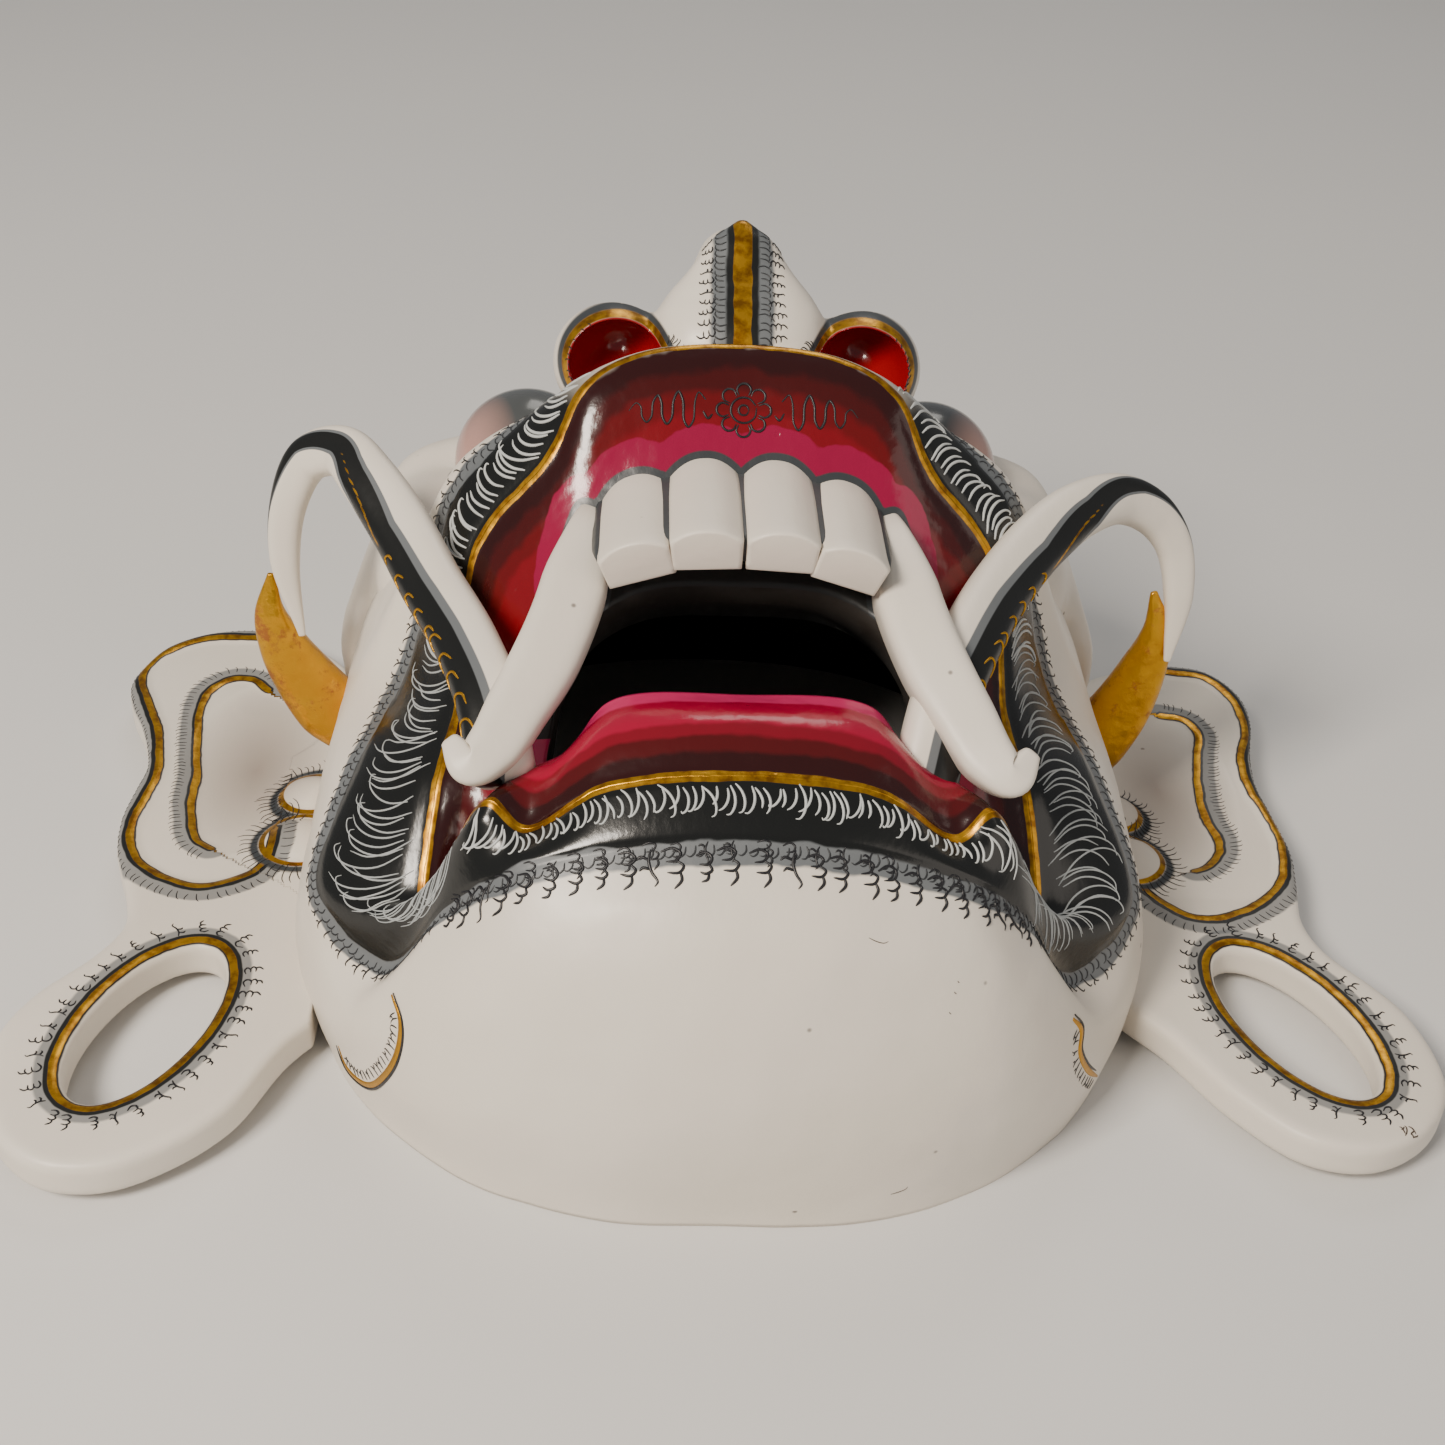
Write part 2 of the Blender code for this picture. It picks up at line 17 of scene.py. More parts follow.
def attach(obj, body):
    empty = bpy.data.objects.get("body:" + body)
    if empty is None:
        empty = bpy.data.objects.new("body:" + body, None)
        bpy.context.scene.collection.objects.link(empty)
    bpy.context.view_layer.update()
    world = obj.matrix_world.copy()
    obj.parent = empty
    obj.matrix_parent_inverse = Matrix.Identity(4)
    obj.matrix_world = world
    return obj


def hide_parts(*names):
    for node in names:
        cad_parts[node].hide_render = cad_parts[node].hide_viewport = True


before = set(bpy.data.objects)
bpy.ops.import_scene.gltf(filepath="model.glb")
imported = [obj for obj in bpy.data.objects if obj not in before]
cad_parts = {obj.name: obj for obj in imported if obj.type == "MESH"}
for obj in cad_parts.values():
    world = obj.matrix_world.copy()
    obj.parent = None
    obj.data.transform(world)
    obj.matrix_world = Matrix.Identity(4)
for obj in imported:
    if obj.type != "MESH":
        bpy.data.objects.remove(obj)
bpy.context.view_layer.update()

# Carved forms
# One half of the face. Each spoke runs outward: mouth edge, lip, gold border of the mouth,
# outer edge of the hair band, cheek, side, back rim.
SPOKES = np.array([
    [(0, -30, 117), (0, -8, 140), (0, 15, 161), (0, 32, 147),
     (0, 75, 122), (0, 112, 84), (0, 128, 0)],
    [(22, -31, 116), (20, -9, 139), (26, 12, 159), (30, 30, 144),
     (30, 72, 118), (32, 110, 82), (36, 126, 0)],
    [(34, -36, 112), (32, -12, 134), (39, 6, 153), (47, 21, 141),
     (56, 58, 94), (60, 104, 78), (68, 116, 0)],
    [(41, -44, 106), (41, -20, 124), (48, -3, 137), (62, 14, 135),
     (76, 48, 98), (88, 84, 72), (94, 92, 0)],
    [(44, -52, 98), (52, -32, 106), (66, -10, 115), (74, 9, 124),
     (88, 18, 92), (104, 50, 58), (110, 58, 0)],
    [(45, -58, 92), (58, -46, 88), (69, -38, 86), (86, -12, 79),
     (101, -2, 66), (110, 12, 36), (112, 20, 0)],
    [(46, -62, 88), (62, -60, 76), (73, -58, 76), (95, -40, 68),
     (106, -30, 54), (113, -20, 26), (112, -18, 0)],
    [(46, -66, 86), (66, -72, 62), (75, -80, 56), (103, -66, 48),
     (109, -60, 36), (112, -56, 18), (109, -54, 0)],
    [(45, -68, 88), (60, -76, 78), (68, -86, 74), (84, -87, 42),
     (96, -87, 28), (100, -84, 14), (99, -81, 0)],
    [(43, -69, 92), (54, -78, 92), (58, -88, 93), (67, -97, 70),
     (80, -102, 46), (87, -102, 20), (84, -102, 0)],
    [(40, -69, 95), (46, -80, 96), (50, -92, 88), (52, -102, 84),
     (60, -116, 62), (65, -121, 28), (63, -119, 0)],
    [(31, -65, 106), (31, -78, 107), (31, -91, 100), (30, -103, 92),
     (31, -121, 74), (34, -131, 34), (34, -130, 0)],
    [(0, -64, 108), (0, -78, 111), (0, -91, 104), (0, -103, 95),
     (0, -123, 77), (0, -134, 36), (0, -132, 0)],
], float)
GOLD_BORDER, BAND_EDGE = 2, 3
# Below this the border of the mouth belongs to the lower lip
LIP_CORNER_HEIGHT = -45.0
COLUMNS_PER_SPOKE = 16
ROWS_PER_RING = [18, 20, 18, 22, 22, 26]
HOLLOW_ROWS = 6

# Ways that carved forms face, and how the carver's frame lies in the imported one
TOWARD_CHIN = np.array([0.0, -0.8, 0.6])
FACE_FRONT = np.array([0.0, 0.0, 1.0])
NOSE_UNDERSIDE = np.array([0.0, -0.63, 0.78])
CARVING_TO_TABLE = np.array([-1.0, 3.1, 0.0])

SEPTUM = [(0, 24, 147), (0, 27, 154), (0, 34, 159), (0, 38, 165), (0, 41, 171), (0, 44.5, 178),
          (0, 46, 182)]
SEPTUM_WIDTHS = (34, 44, 45, 38, 27, 16, 4)
SEPTUM_HEIGHTS = (22, 27, 28, 24, 16, 10, 4)
BRIDGE = [(0, 46, 176), (0, 56, 166), (0, 74, 146), (0, 90, 118), (0, 98, 92)]
BRIDGE_WIDTHS = (8, 22, 30, 34, 34)
BROW = [(14, 88, 100), (36, 86, 98), (60, 82, 94), (76, 77, 92), (89, 73, 89), (98, 60, 72)]
BROW_WIDTHS = (14, 19, 20, 20, 19, 12)
TEMPLE_EDGE = [(94, 70, 88), (100, 55, 76), (105, 42, 60), (106, 30, 44)]
TEMPLE_EDGE_WIDTHS = (6, 10, 12, 6)
NOSTRIL = np.array([32.0, 16.0, 151.5])
NOSTRIL_RADII = np.array([13.0, 25.0, 11.5])
EYE = np.array([57.0, 58.0, 104.0])
EYE_RADIUS = 20.8
# How deep the nose and brows stay rooted in the face
NOSE_ROOT = 5.0

FANG = [(36.5, -6, 126), (38.5, -20, 125), (41, -38, 118.5), (46, -54, 111.5), (52.5, -67, 105),
        (58, -77, 100), (63, -81, 98), (67, -77, 101)]
FANG_WIDTHS = (4, 9, 16.5, 16.5, 15, 13, 9.5, 5)
FANG_DEPTHS = (6, 11, 14, 14, 13, 12, 11, 8)
TUSKS = {
    -1: [(56, -76, 93), (60, -60, 102), (67, -42, 107), (77, -22, 111), (86, -5, 117), (95, 8, 123),
         (103, 18, 126), (113, 23, 121), (119, 22, 109), (121, 19, 92), (117, 13, 72)],
    1: [(44, -74, 91), (49, -60, 105), (57, -42, 111), (67, -22, 114), (80, -2, 117), (92, 11, 119),
        (105, 20, 118), (116, 23, 112), (123, 22, 103), (126, 18, 89), (125, 13, 71)],
}
# Shares of a tusk's section, from its root to its tip
TUSK_TAPER = np.array([1.0, 1.0, 1.0, 1.0, 1.0, 0.95, 0.85, 0.75, 0.62, 0.5, 0.12])
TUSK_SECTION = (16.0, 12.5)
CRESCENTS = {
    -1: [(107, 24, 31), (113, 21, 43), (118, 20, 52), (123, 18, 64), (126, 17, 76), (125, 18, 88)],
    1: [(106, 22, 25), (111, 21, 37), (116, 20, 48), (120, 19, 62), (122, 18, 77), (119, 18, 90)],
}
# Shares of a crescent's section, from its root to its tip
CRESCENT_TAPER = np.array([0.8, 1.1, 1.0, 0.8, 0.5, 0.12])
CRESCENT_SECTION = (17.5, 12.0)

EAR_OUTLINES = {
    -1: [(98, 50), (106, 66), (124, 94), (148, 106), (157, 106), (167, 103), (177, 95), (182, 84),
         (184, 73), (181, 61), (175, 48), (170, 30), (171, 18), (172, 5), (170, -10), (163, -30),
         (161, -42), (166, -54), (178, -70), (183, -84), (181, -100), (175, -117), (163, -127),
         (148, -128), (134, -121), (121, -108), (111, -86), (98, -66), (90, -10)],
    1: [(98, 44), (106, 60), (122, 88), (145, 99), (157, 99), (165, 97), (171, 91), (175, 81),
        (175, 68), (170, 48), (168, 33), (169, 18), (170, 0), (168, -14), (165, -32), (168, -44),
        (177, -57), (183, -68), (186, -86), (184, -98), (175, -110), (160, -117), (144, -114),
        (129, -99), (116, -78), (104, -62), (90, -10)],
}
EAR_CONTOURS = {
    -1: [(147, 101), (164, 100), (174, 94), (180, 85), (181, 75), (177, 64), (171, 50), (168, 39),
         (166, 26), (167, 12), (168, 2), (167, -6), (163, -15), (155, -22), (145, -26), (139, -25),
         (130, -19), (127, -10), (127, -1)],
    1: [(140, 96), (156, 94), (164, 92), (169, 86), (172, 74), (171, 60), (166, 46), (165, 30),
        (167, 18), (168, 6), (166, -6), (162, -16), (153, -25), (142, -31), (133, -31), (126, -25),
        (122, -19)],
}
EAR_SCROLLS = {
    -1: [(141, 73), (147, 78), (153, 78), (159, 71), (160, 60), (158, 44), (155, 27), (154, 14),
         (152, 5), (149, -4), (144, -8)],
    1: [(146, 71), (153, 68), (156, 61), (153, 48), (150, 32), (149, 17), (150, 7), (148, -1),
        (143, -7), (139, -9)],
}
# Each lobe's hole: its middle, and how far it leans in degrees
LOBES = {-1: (147, -79, 20), 1: (151.5, -71.5, 23)}
LOBE_HOLE = (59.0, 29.0)
LOBE_RING = (64.5, 34.0)
# The two buds at the ear's opening: place and radius
TRAGUS_LOBES = [(119, 17, 9), (119, -5, 11)]
EAR_THICKNESS = 11.0
EAR_ROUNDING = 2.6
# Where an ear ends against the side of the face
EAR_SEAM = 106.0
EAR_CLEAR_OF_TABLE = 3.0


# Curves and meshes
def placed(places):
    """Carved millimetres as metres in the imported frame."""
    return (np.asarray(places, float) + CARVING_TO_TABLE) / 1000


def carved(places):
    """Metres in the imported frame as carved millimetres."""
    return np.asarray(places, float) * 1000 - CARVING_TO_TABLE


def sided(places, side):
    """Places of one half, mirrored for the left side."""
    return np.asarray(places, float) * (side, 1, 1)


def through(places, cuts):
    """Smooth curves through all but the first and last rows, which only steer them."""
    rows = []
    if isinstance(cuts, int):
        cuts = [cuts] * (len(places) - 3)
    for a, b, c, d, count in zip(places, places[1:], places[2:], places[3:], cuts):
        ab, bc, cd = (
            np.linalg.norm(q - p, axis=-1, keepdims=True) ** 0.5 + 1e-6 for p, q in ((a, b), (b, c), (c, d))
        )
        for cut in range(count):
            t = ab + bc * cut / count
            p = a + (b - a) * t / ab
            q = b + (c - b) * (t - ab) / bc
            r = c + (d - c) * (t - ab - bc) / cd
            p = p + (q - p) * t / (ab + bc)
            r = q + (r - q) * (t - ab) / (bc + cd)
            rows.append(p + (r - p) * (t - ab) / bc)
    rows.append(places[-2])
    return np.array(rows)


def open_curve(places, cuts):
    """A smooth curve through every place, which runs straight on at its ends."""
    places = np.asarray(places, float)
    before = 2 * places[:1] - places[1:2]
    after = 2 * places[-1:] - places[-2:-1]
    return through(np.concatenate([before, places, after]), cuts)


def half_ring(places, cuts):
    """A smooth curve that meets its mirror image squarely at both ends."""
    flip = np.array([-1.0, 1.0, 1.0])
    return through(np.concatenate([places[1:2] * flip, places, places[-2:-1] * flip]), cuts)


def whole_ring(half):
    """A half ring and its mirror image as one loop."""
    mirrored = half[-2:0:-1] * np.array([-1.0, 1.0, 1.0])
    return np.concatenate([half, mirrored])


def lengths(rows):
    """How far along each row lies, down a stack of rows."""
    steps = np.linalg.norm(np.diff(rows, axis=0), axis=-1)
    return np.concatenate([np.zeros_like(steps[:1]), np.cumsum(steps, axis=0)])


def in_scene(name, data):
    """A new object in the scene, at the origin, unturned."""
    item = bpy.data.objects.new(name, data)
    bpy.context.scene.collection.objects.link(item)
    return item


def mesh_object(name, places, faces):
    """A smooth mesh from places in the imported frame, its faces turned outward."""
    mesh = bpy.data.meshes.new(name)
    mesh.from_pydata(np.asarray(places).tolist(), [], faces)
    builder = bmesh.new()
    builder.from_mesh(mesh)
    bmesh.ops.recalc_face_normals(builder, faces=builder.faces)
    builder.to_mesh(mesh)
    builder.free()
    mesh.shade_smooth()
    return in_scene(name, mesh)


def quads(rows, columns, closed_rows=False, closed_columns=False):
    """Faces of a grid whose places are counted row by row."""
    faces = []
    for row in range(rows if closed_rows else rows - 1):
        for column in range(columns if closed_columns else columns - 1):
            across = (column + 1) % columns
            down = (row + 1) % rows
            faces.append((row * columns + column, row * columns + across, down * columns + across,
                          down * columns + column))
    return faces


def note(piece, name, values):
    """Writes a value for every point of a mesh, for its material to read."""
    kind = "FLOAT" if np.ndim(values) == 1 else "FLOAT_VECTOR"
    layer = piece.data.attributes.new(name, kind, "POINT")
    layer.data.foreach_set("value" if kind == "FLOAT" else "vector", np.asarray(values, np.float32).ravel())


def points_of(piece):
    """The points of a mesh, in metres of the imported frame."""
    places = np.empty(len(piece.data.vertices) * 3, np.float32)
    piece.data.vertices.foreach_get("co", places)
    return places.reshape(-1, 3).astype(float)


def normals_of(piece):
    """The way that each point of a mesh faces."""
    normals = np.empty(len(piece.data.vertices) * 3, np.float32)
    piece.data.vertex_normals.foreach_get("vector", normals)
    return normals.reshape(-1, 3).astype(float)


def move_points(piece, places):
    """Puts the points of a mesh at new places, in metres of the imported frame."""
    piece.data.vertices.foreach_set("co", np.asarray(places, np.float32).ravel())
    piece.data.update()


def applied(piece):
    """The piece with its modifiers made part of its mesh."""
    bpy.context.view_layer.update()
    evaluated = piece.evaluated_get(bpy.context.evaluated_depsgraph_get())
    mesh = bpy.data.meshes.new_from_object(evaluated)
    piece.modifiers.clear()
    piece.data = mesh
    mesh.shade_smooth()
    return piece


def sweep(name, path, widths, depths, facing, squareness, sides=28, cuts=12, ends=4):
    """A bar along a smooth path, in carved millimetres. Its section faces one way, its ends are rounded.

    Returns the piece and, for every point, its share of the length and its place across and up
    the section.
    """
    spine = open_curve(path, cuts)
    spread = open_curve(np.stack([widths, depths], axis=1), cuts)
    along = np.gradient(spine, axis=0)
    along /= np.linalg.norm(along, axis=1, keepdims=True)
    up = facing - along * (along @ facing)[:, None]
    up /= np.linalg.norm(up, axis=1, keepdims=True)
    across = np.cross(along, up)
    share = lengths(spine)
    share = share / share[-1]
    rows = []
    for end, row in ((-1, 0), (0, None), (1, len(spine) - 1)):
        if end == 0:
            rows += [(spine[i], across[i], up[i], spread[i], share[i]) for i in range(len(spine))]
            continue
        bulge = [math.radians(90 * step / ends) for step in range(1, ends)]
        outward = along[row] * end * spread[row].min() * 0.3
        caps = [(spine[row] + outward * math.sin(angle), across[row], up[row],
                 spread[row] * math.cos(angle), share[row]) for angle in bulge]
        rows += caps[::-1] if end < 0 else caps
    turn = np.linspace(0, math.tau, sides, endpoint=False)
    cos = np.sign(np.cos(turn)) * np.abs(np.cos(turn)) ** squareness
    sin = np.sign(np.sin(turn)) * np.abs(np.sin(turn)) ** squareness
    places, facts = [], []
    for centre, right, top, size, part in rows:
        places.append(centre + right * cos[:, None] * size[0] / 2 + top * sin[:, None] * size[1] / 2)
        facts.append(np.stack([np.full(sides, part), cos, sin], axis=1))
    count = len(places)
    faces = quads(count, sides, closed_columns=True)
    faces.append(tuple(range(sides)))
    faces.append(tuple((count - 1) * sides + k for k in range(sides)))
    piece = mesh_object(name, placed(np.concatenate(places)), faces)
    return piece, np.concatenate(facts)


def ball(name, centre, radii, segments=32, rings=20):
    """A ball or egg, in carved millimetres."""
    builder = bmesh.new()
    bmesh.ops.create_uvsphere(builder, u_segments=segments, v_segments=rings, radius=1.0)
    mesh = bpy.data.meshes.new(name)
    builder.to_mesh(mesh)
    builder.free()
    piece = in_scene(name, mesh)
    move_points(piece, placed(points_of(piece) * radii + centre))
    mesh.shade_smooth()
    return piece


def merge(pieces, name):
    """Several pieces as one mesh."""
    builder = bmesh.new()
    for piece in pieces:
        builder.from_mesh(piece.data)
        bpy.data.objects.remove(piece)
    mesh = bpy.data.meshes.new(name)
    builder.to_mesh(mesh)
    builder.free()
    mesh.shade_smooth()
    return in_scene(name, mesh)


def one_skin(piece, grain, smoothing):
    """Melts overlapping forms into one carved skin. The grain is in millimetres."""
    remesh = piece.modifiers.new("one skin", "REMESH")
    remesh.mode = "VOXEL"
    remesh.voxel_size = grain / 1000
    smooth = piece.modifiers.new("worked over", "SMOOTH")
    smooth.factor = 0.5
    smooth.iterations = smoothing
    return applied(piece)


def cut_away(piece, tool):
    """Cuts the shape of a tool out of a piece, and takes the tool away."""
    step = piece.modifiers.new("cut", "BOOLEAN")
    step.operation = "DIFFERENCE"
    step.solver = "EXACT"
    step.object = tool
    applied(piece)
    bpy.data.objects.remove(tool)
    return piece


def nearest_on_line(places, line, closed=False):
    """For each place, its distance from a line, and which side of a flat line it is on."""
    line = np.asarray(line, float)
    if closed:
        line = np.concatenate([line, line[:1]])
    best = np.full(len(places), 1e9)
    side = np.ones(len(places))
    for start, end in zip(line, line[1:]):
        step = end - start
        t = np.clip(((places - start) @ step) / (step @ step), 0, 1)
        offset = places - start - t[:, None] * step
        distance = np.linalg.norm(offset, axis=1)
        nearer = distance < best
        best[nearer] = distance[nearer]
        if line.shape[1] == 2:
            turn = step[0] * offset[:, 1] - step[1] * offset[:, 0]
            side[nearer] = np.sign(turn[nearer])
    return best, side


# Paints and finishes
def srgb(code):
    """A colour from its sRGB hex code, as linear light."""
    parts = [int(code[place:place + 2], 16) / 255 for place in (1, 3, 5)]
    return [part / 12.92 if part <= 0.04045 else ((part + 0.055) / 1.055) ** 2.4 for part in parts] + [1.0]


def add(tree, kind, *values, out=0, sockets=None, **settings):
    """A node with its settings, and its inputs linked or set. Returns one of its outputs."""
    node = tree.nodes.new(kind)
    for key, value in settings.items():
        setattr(node, key, value)
    inputs = dict(enumerate(values))
    inputs.update(sockets or {})
    for key, value in inputs.items():
        if isinstance(value, bpy.types.NodeSocket):
            tree.links.new(value, node.inputs[key])
        elif value is not None:
            node.inputs[key].default_value = value
    return node.outputs[out]


def below(tree, value, limit, soft=0.12):
    """1 where the value is below a limit, 0 above it, with the soft edge of a brush."""
    return add(tree, "ShaderNodeMapRange", value, limit - soft, limit + soft, 1.0, 0.0,
               interpolation_type="SMOOTHSTEP")


def between(tree, value, low, high, soft=0.12):
    """1 where the value lies between two limits."""
    return add(tree, "ShaderNodeMath", below(tree, value, high, soft), below(tree, value, low, soft),
               operation="SUBTRACT")


def coat_over(tree, finish, mask, colour, roughness, metallic=0.0):
    """Lays one paint over the finish so far, where the mask is 1."""
    below_colour, below_roughness, below_metallic = finish
    return (
        add(tree, "ShaderNodeMix", sockets={0: mask, 6: below_colour, 7: colour}, data_type="RGBA", out=2),
        add(tree, "ShaderNodeMix", sockets={0: mask, 2: below_roughness, 3: roughness}),
        add(tree, "ShaderNodeMix", sockets={0: mask, 2: below_metallic, 3: metallic}),
    )


def material(name):
    """An empty material and its tree of nodes."""
    made = bpy.data.materials.new(name)
    made.use_nodes = True
    made.node_tree.nodes.clear()
    return made, made.node_tree


def close(made, tree, finish, bump, strength=0.4, depth=0.0002, coat=0.0, coat_roughness=0.1,
          subsurface=0.0):
    """Ends a material in its shader."""
    colour, roughness, metallic = finish
    normal = add(tree, "ShaderNodeBump", sockets={"Strength": strength, "Distance": depth, "Height": bump})
    shader = tree.nodes.new("ShaderNodeBsdfPrincipled")
    for key, value in (("Base Color", colour), ("Roughness", roughness), ("Metallic", metallic),
                       ("Normal", normal)):
        if isinstance(value, bpy.types.NodeSocket):
            tree.links.new(value, shader.inputs[key])
        else:
            shader.inputs[key].default_value = value
    shader.inputs["Coat Weight"].default_value = coat
    shader.inputs["Coat Roughness"].default_value = coat_roughness
    shader.inputs["Subsurface Weight"].default_value = subsurface
    end = tree.nodes.new("ShaderNodeOutputMaterial")
    tree.links.new(shader.outputs[0], end.inputs[0])
    return made


BONE_WHITE = "#e6dfd4"
WARM_WHITE = "#d8cebf"
SOOT_BLACK = "#121312"
SLATE_GREY = "#63676a"
CHARCOAL = "#33373a"
GOLD_PAINT = "#c9941f"
GOLD_SHADE = "#8c5c12"
OXBLOOD = "#290706"
DEEP_RED = "#5e0508"
LACQUER_RED = "#730310"
MAGENTA = "#8a0837"
CRIMSON = "#96082f"
PINK = "#c42c62"
BOLE_RED = "#8e4a1c"
# The lacquer deepens in steps: share of the way into the mouth, and the tone from there on
UPPER_LIP_TONES = ((0.0, OXBLOOD), (0.12, "#3f0706"), (0.21, DEEP_RED), (0.30, LACQUER_RED))
LOWER_LIP_TONES = ((0.0, OXBLOOD), (0.20, "#4a080a"), (0.34, "#74081c"), (0.46, CRIMSON), (0.80, PINK))


def bone_ground(tree):
    """Many thin coats of bone white rubbed down by hand: warm, uneven, pinholed, faintly brushed.

    A pattern's scale is its number of cells in a metre: 14 is a drift in tone some 70 mm wide,
    45 a patch of handling of 22 mm, 110 pinholes some 9 mm apart, of which 60 picks patches of
    17 mm, 70 a dent of the knife of 14 mm, and 420 the marks of the brush. Real bristles are
    finer than these 2 mm, and are drawn as coarse as they need to show.
    """
    where = add(tree, "ShaderNodeTexCoord", out=3)
    drift = add(tree, "ShaderNodeTexNoise", where, None, 14.0, 4.0, 0.55)
    colour = add(tree, "ShaderNodeMix", sockets={0: drift, 6: srgb(BONE_WHITE), 7: srgb(WARM_WHITE)},
                 data_type="RGBA", out=2)
    specks = add(tree, "ShaderNodeTexVoronoi", sockets={"Vector": where, "Scale": 110.0}, out=0)
    rare = add(tree, "ShaderNodeTexNoise", where, None, 60.0, 1.0, 0.55)
    chosen = add(tree, "ShaderNodeMath", rare, 0.62, operation="GREATER_THAN")
    pinholes = add(tree, "ShaderNodeMath", below(tree, specks, 0.07, 0.03), chosen, operation="MULTIPLY")
    handled = add(tree, "ShaderNodeTexNoise", where, None, 45.0, 5.0, 0.55)
    roughness = add(tree, "ShaderNodeMapRange", handled, 0.3, 0.7, 0.34, 0.56)
    finish = (colour, roughness, 0.0)
    finish = coat_over(tree, finish, add(tree, "ShaderNodeMath", pinholes, 0.75, operation="MULTIPLY"),
                       srgb("#4a4038"), 0.7)
    grain = add(tree, "ShaderNodeMapping", sockets={0: where, 3: (1.0, 0.25, 1.0)})
    brushed = add(tree, "ShaderNodeTexNoise", grain, None, 420.0, 4.0, 0.55)
    lumps = add(tree, "ShaderNodeTexNoise", where, None, 70.0, 3.0, 0.55)
    height = add(tree, "ShaderNodeMath", lumps, 1.6, brushed, operation="MULTIPLY_ADD")
    height = add(tree, "ShaderNodeMath", height, pinholes, operation="SUBTRACT")
    return where, finish, height


def gilded(tree, where, finish, mask):
    """Gold paint laid on with a loaded brush: streaky, thin in places, with a soft metal shine."""
    streaks = add(tree, "ShaderNodeTexNoise", where, None, 320.0, 3.0, 0.55)
    tone = add(tree, "ShaderNodeMapRange", streaks, 0.35, 0.6, 0.0, 1.0)
    gold = add(tree, "ShaderNodeMix", sockets={0: tone, 6: srgb(GOLD_SHADE), 7: srgb(GOLD_PAINT)},
               data_type="RGBA", out=2)
    return coat_over(tree, finish, mask, gold, 0.32, 0.85)


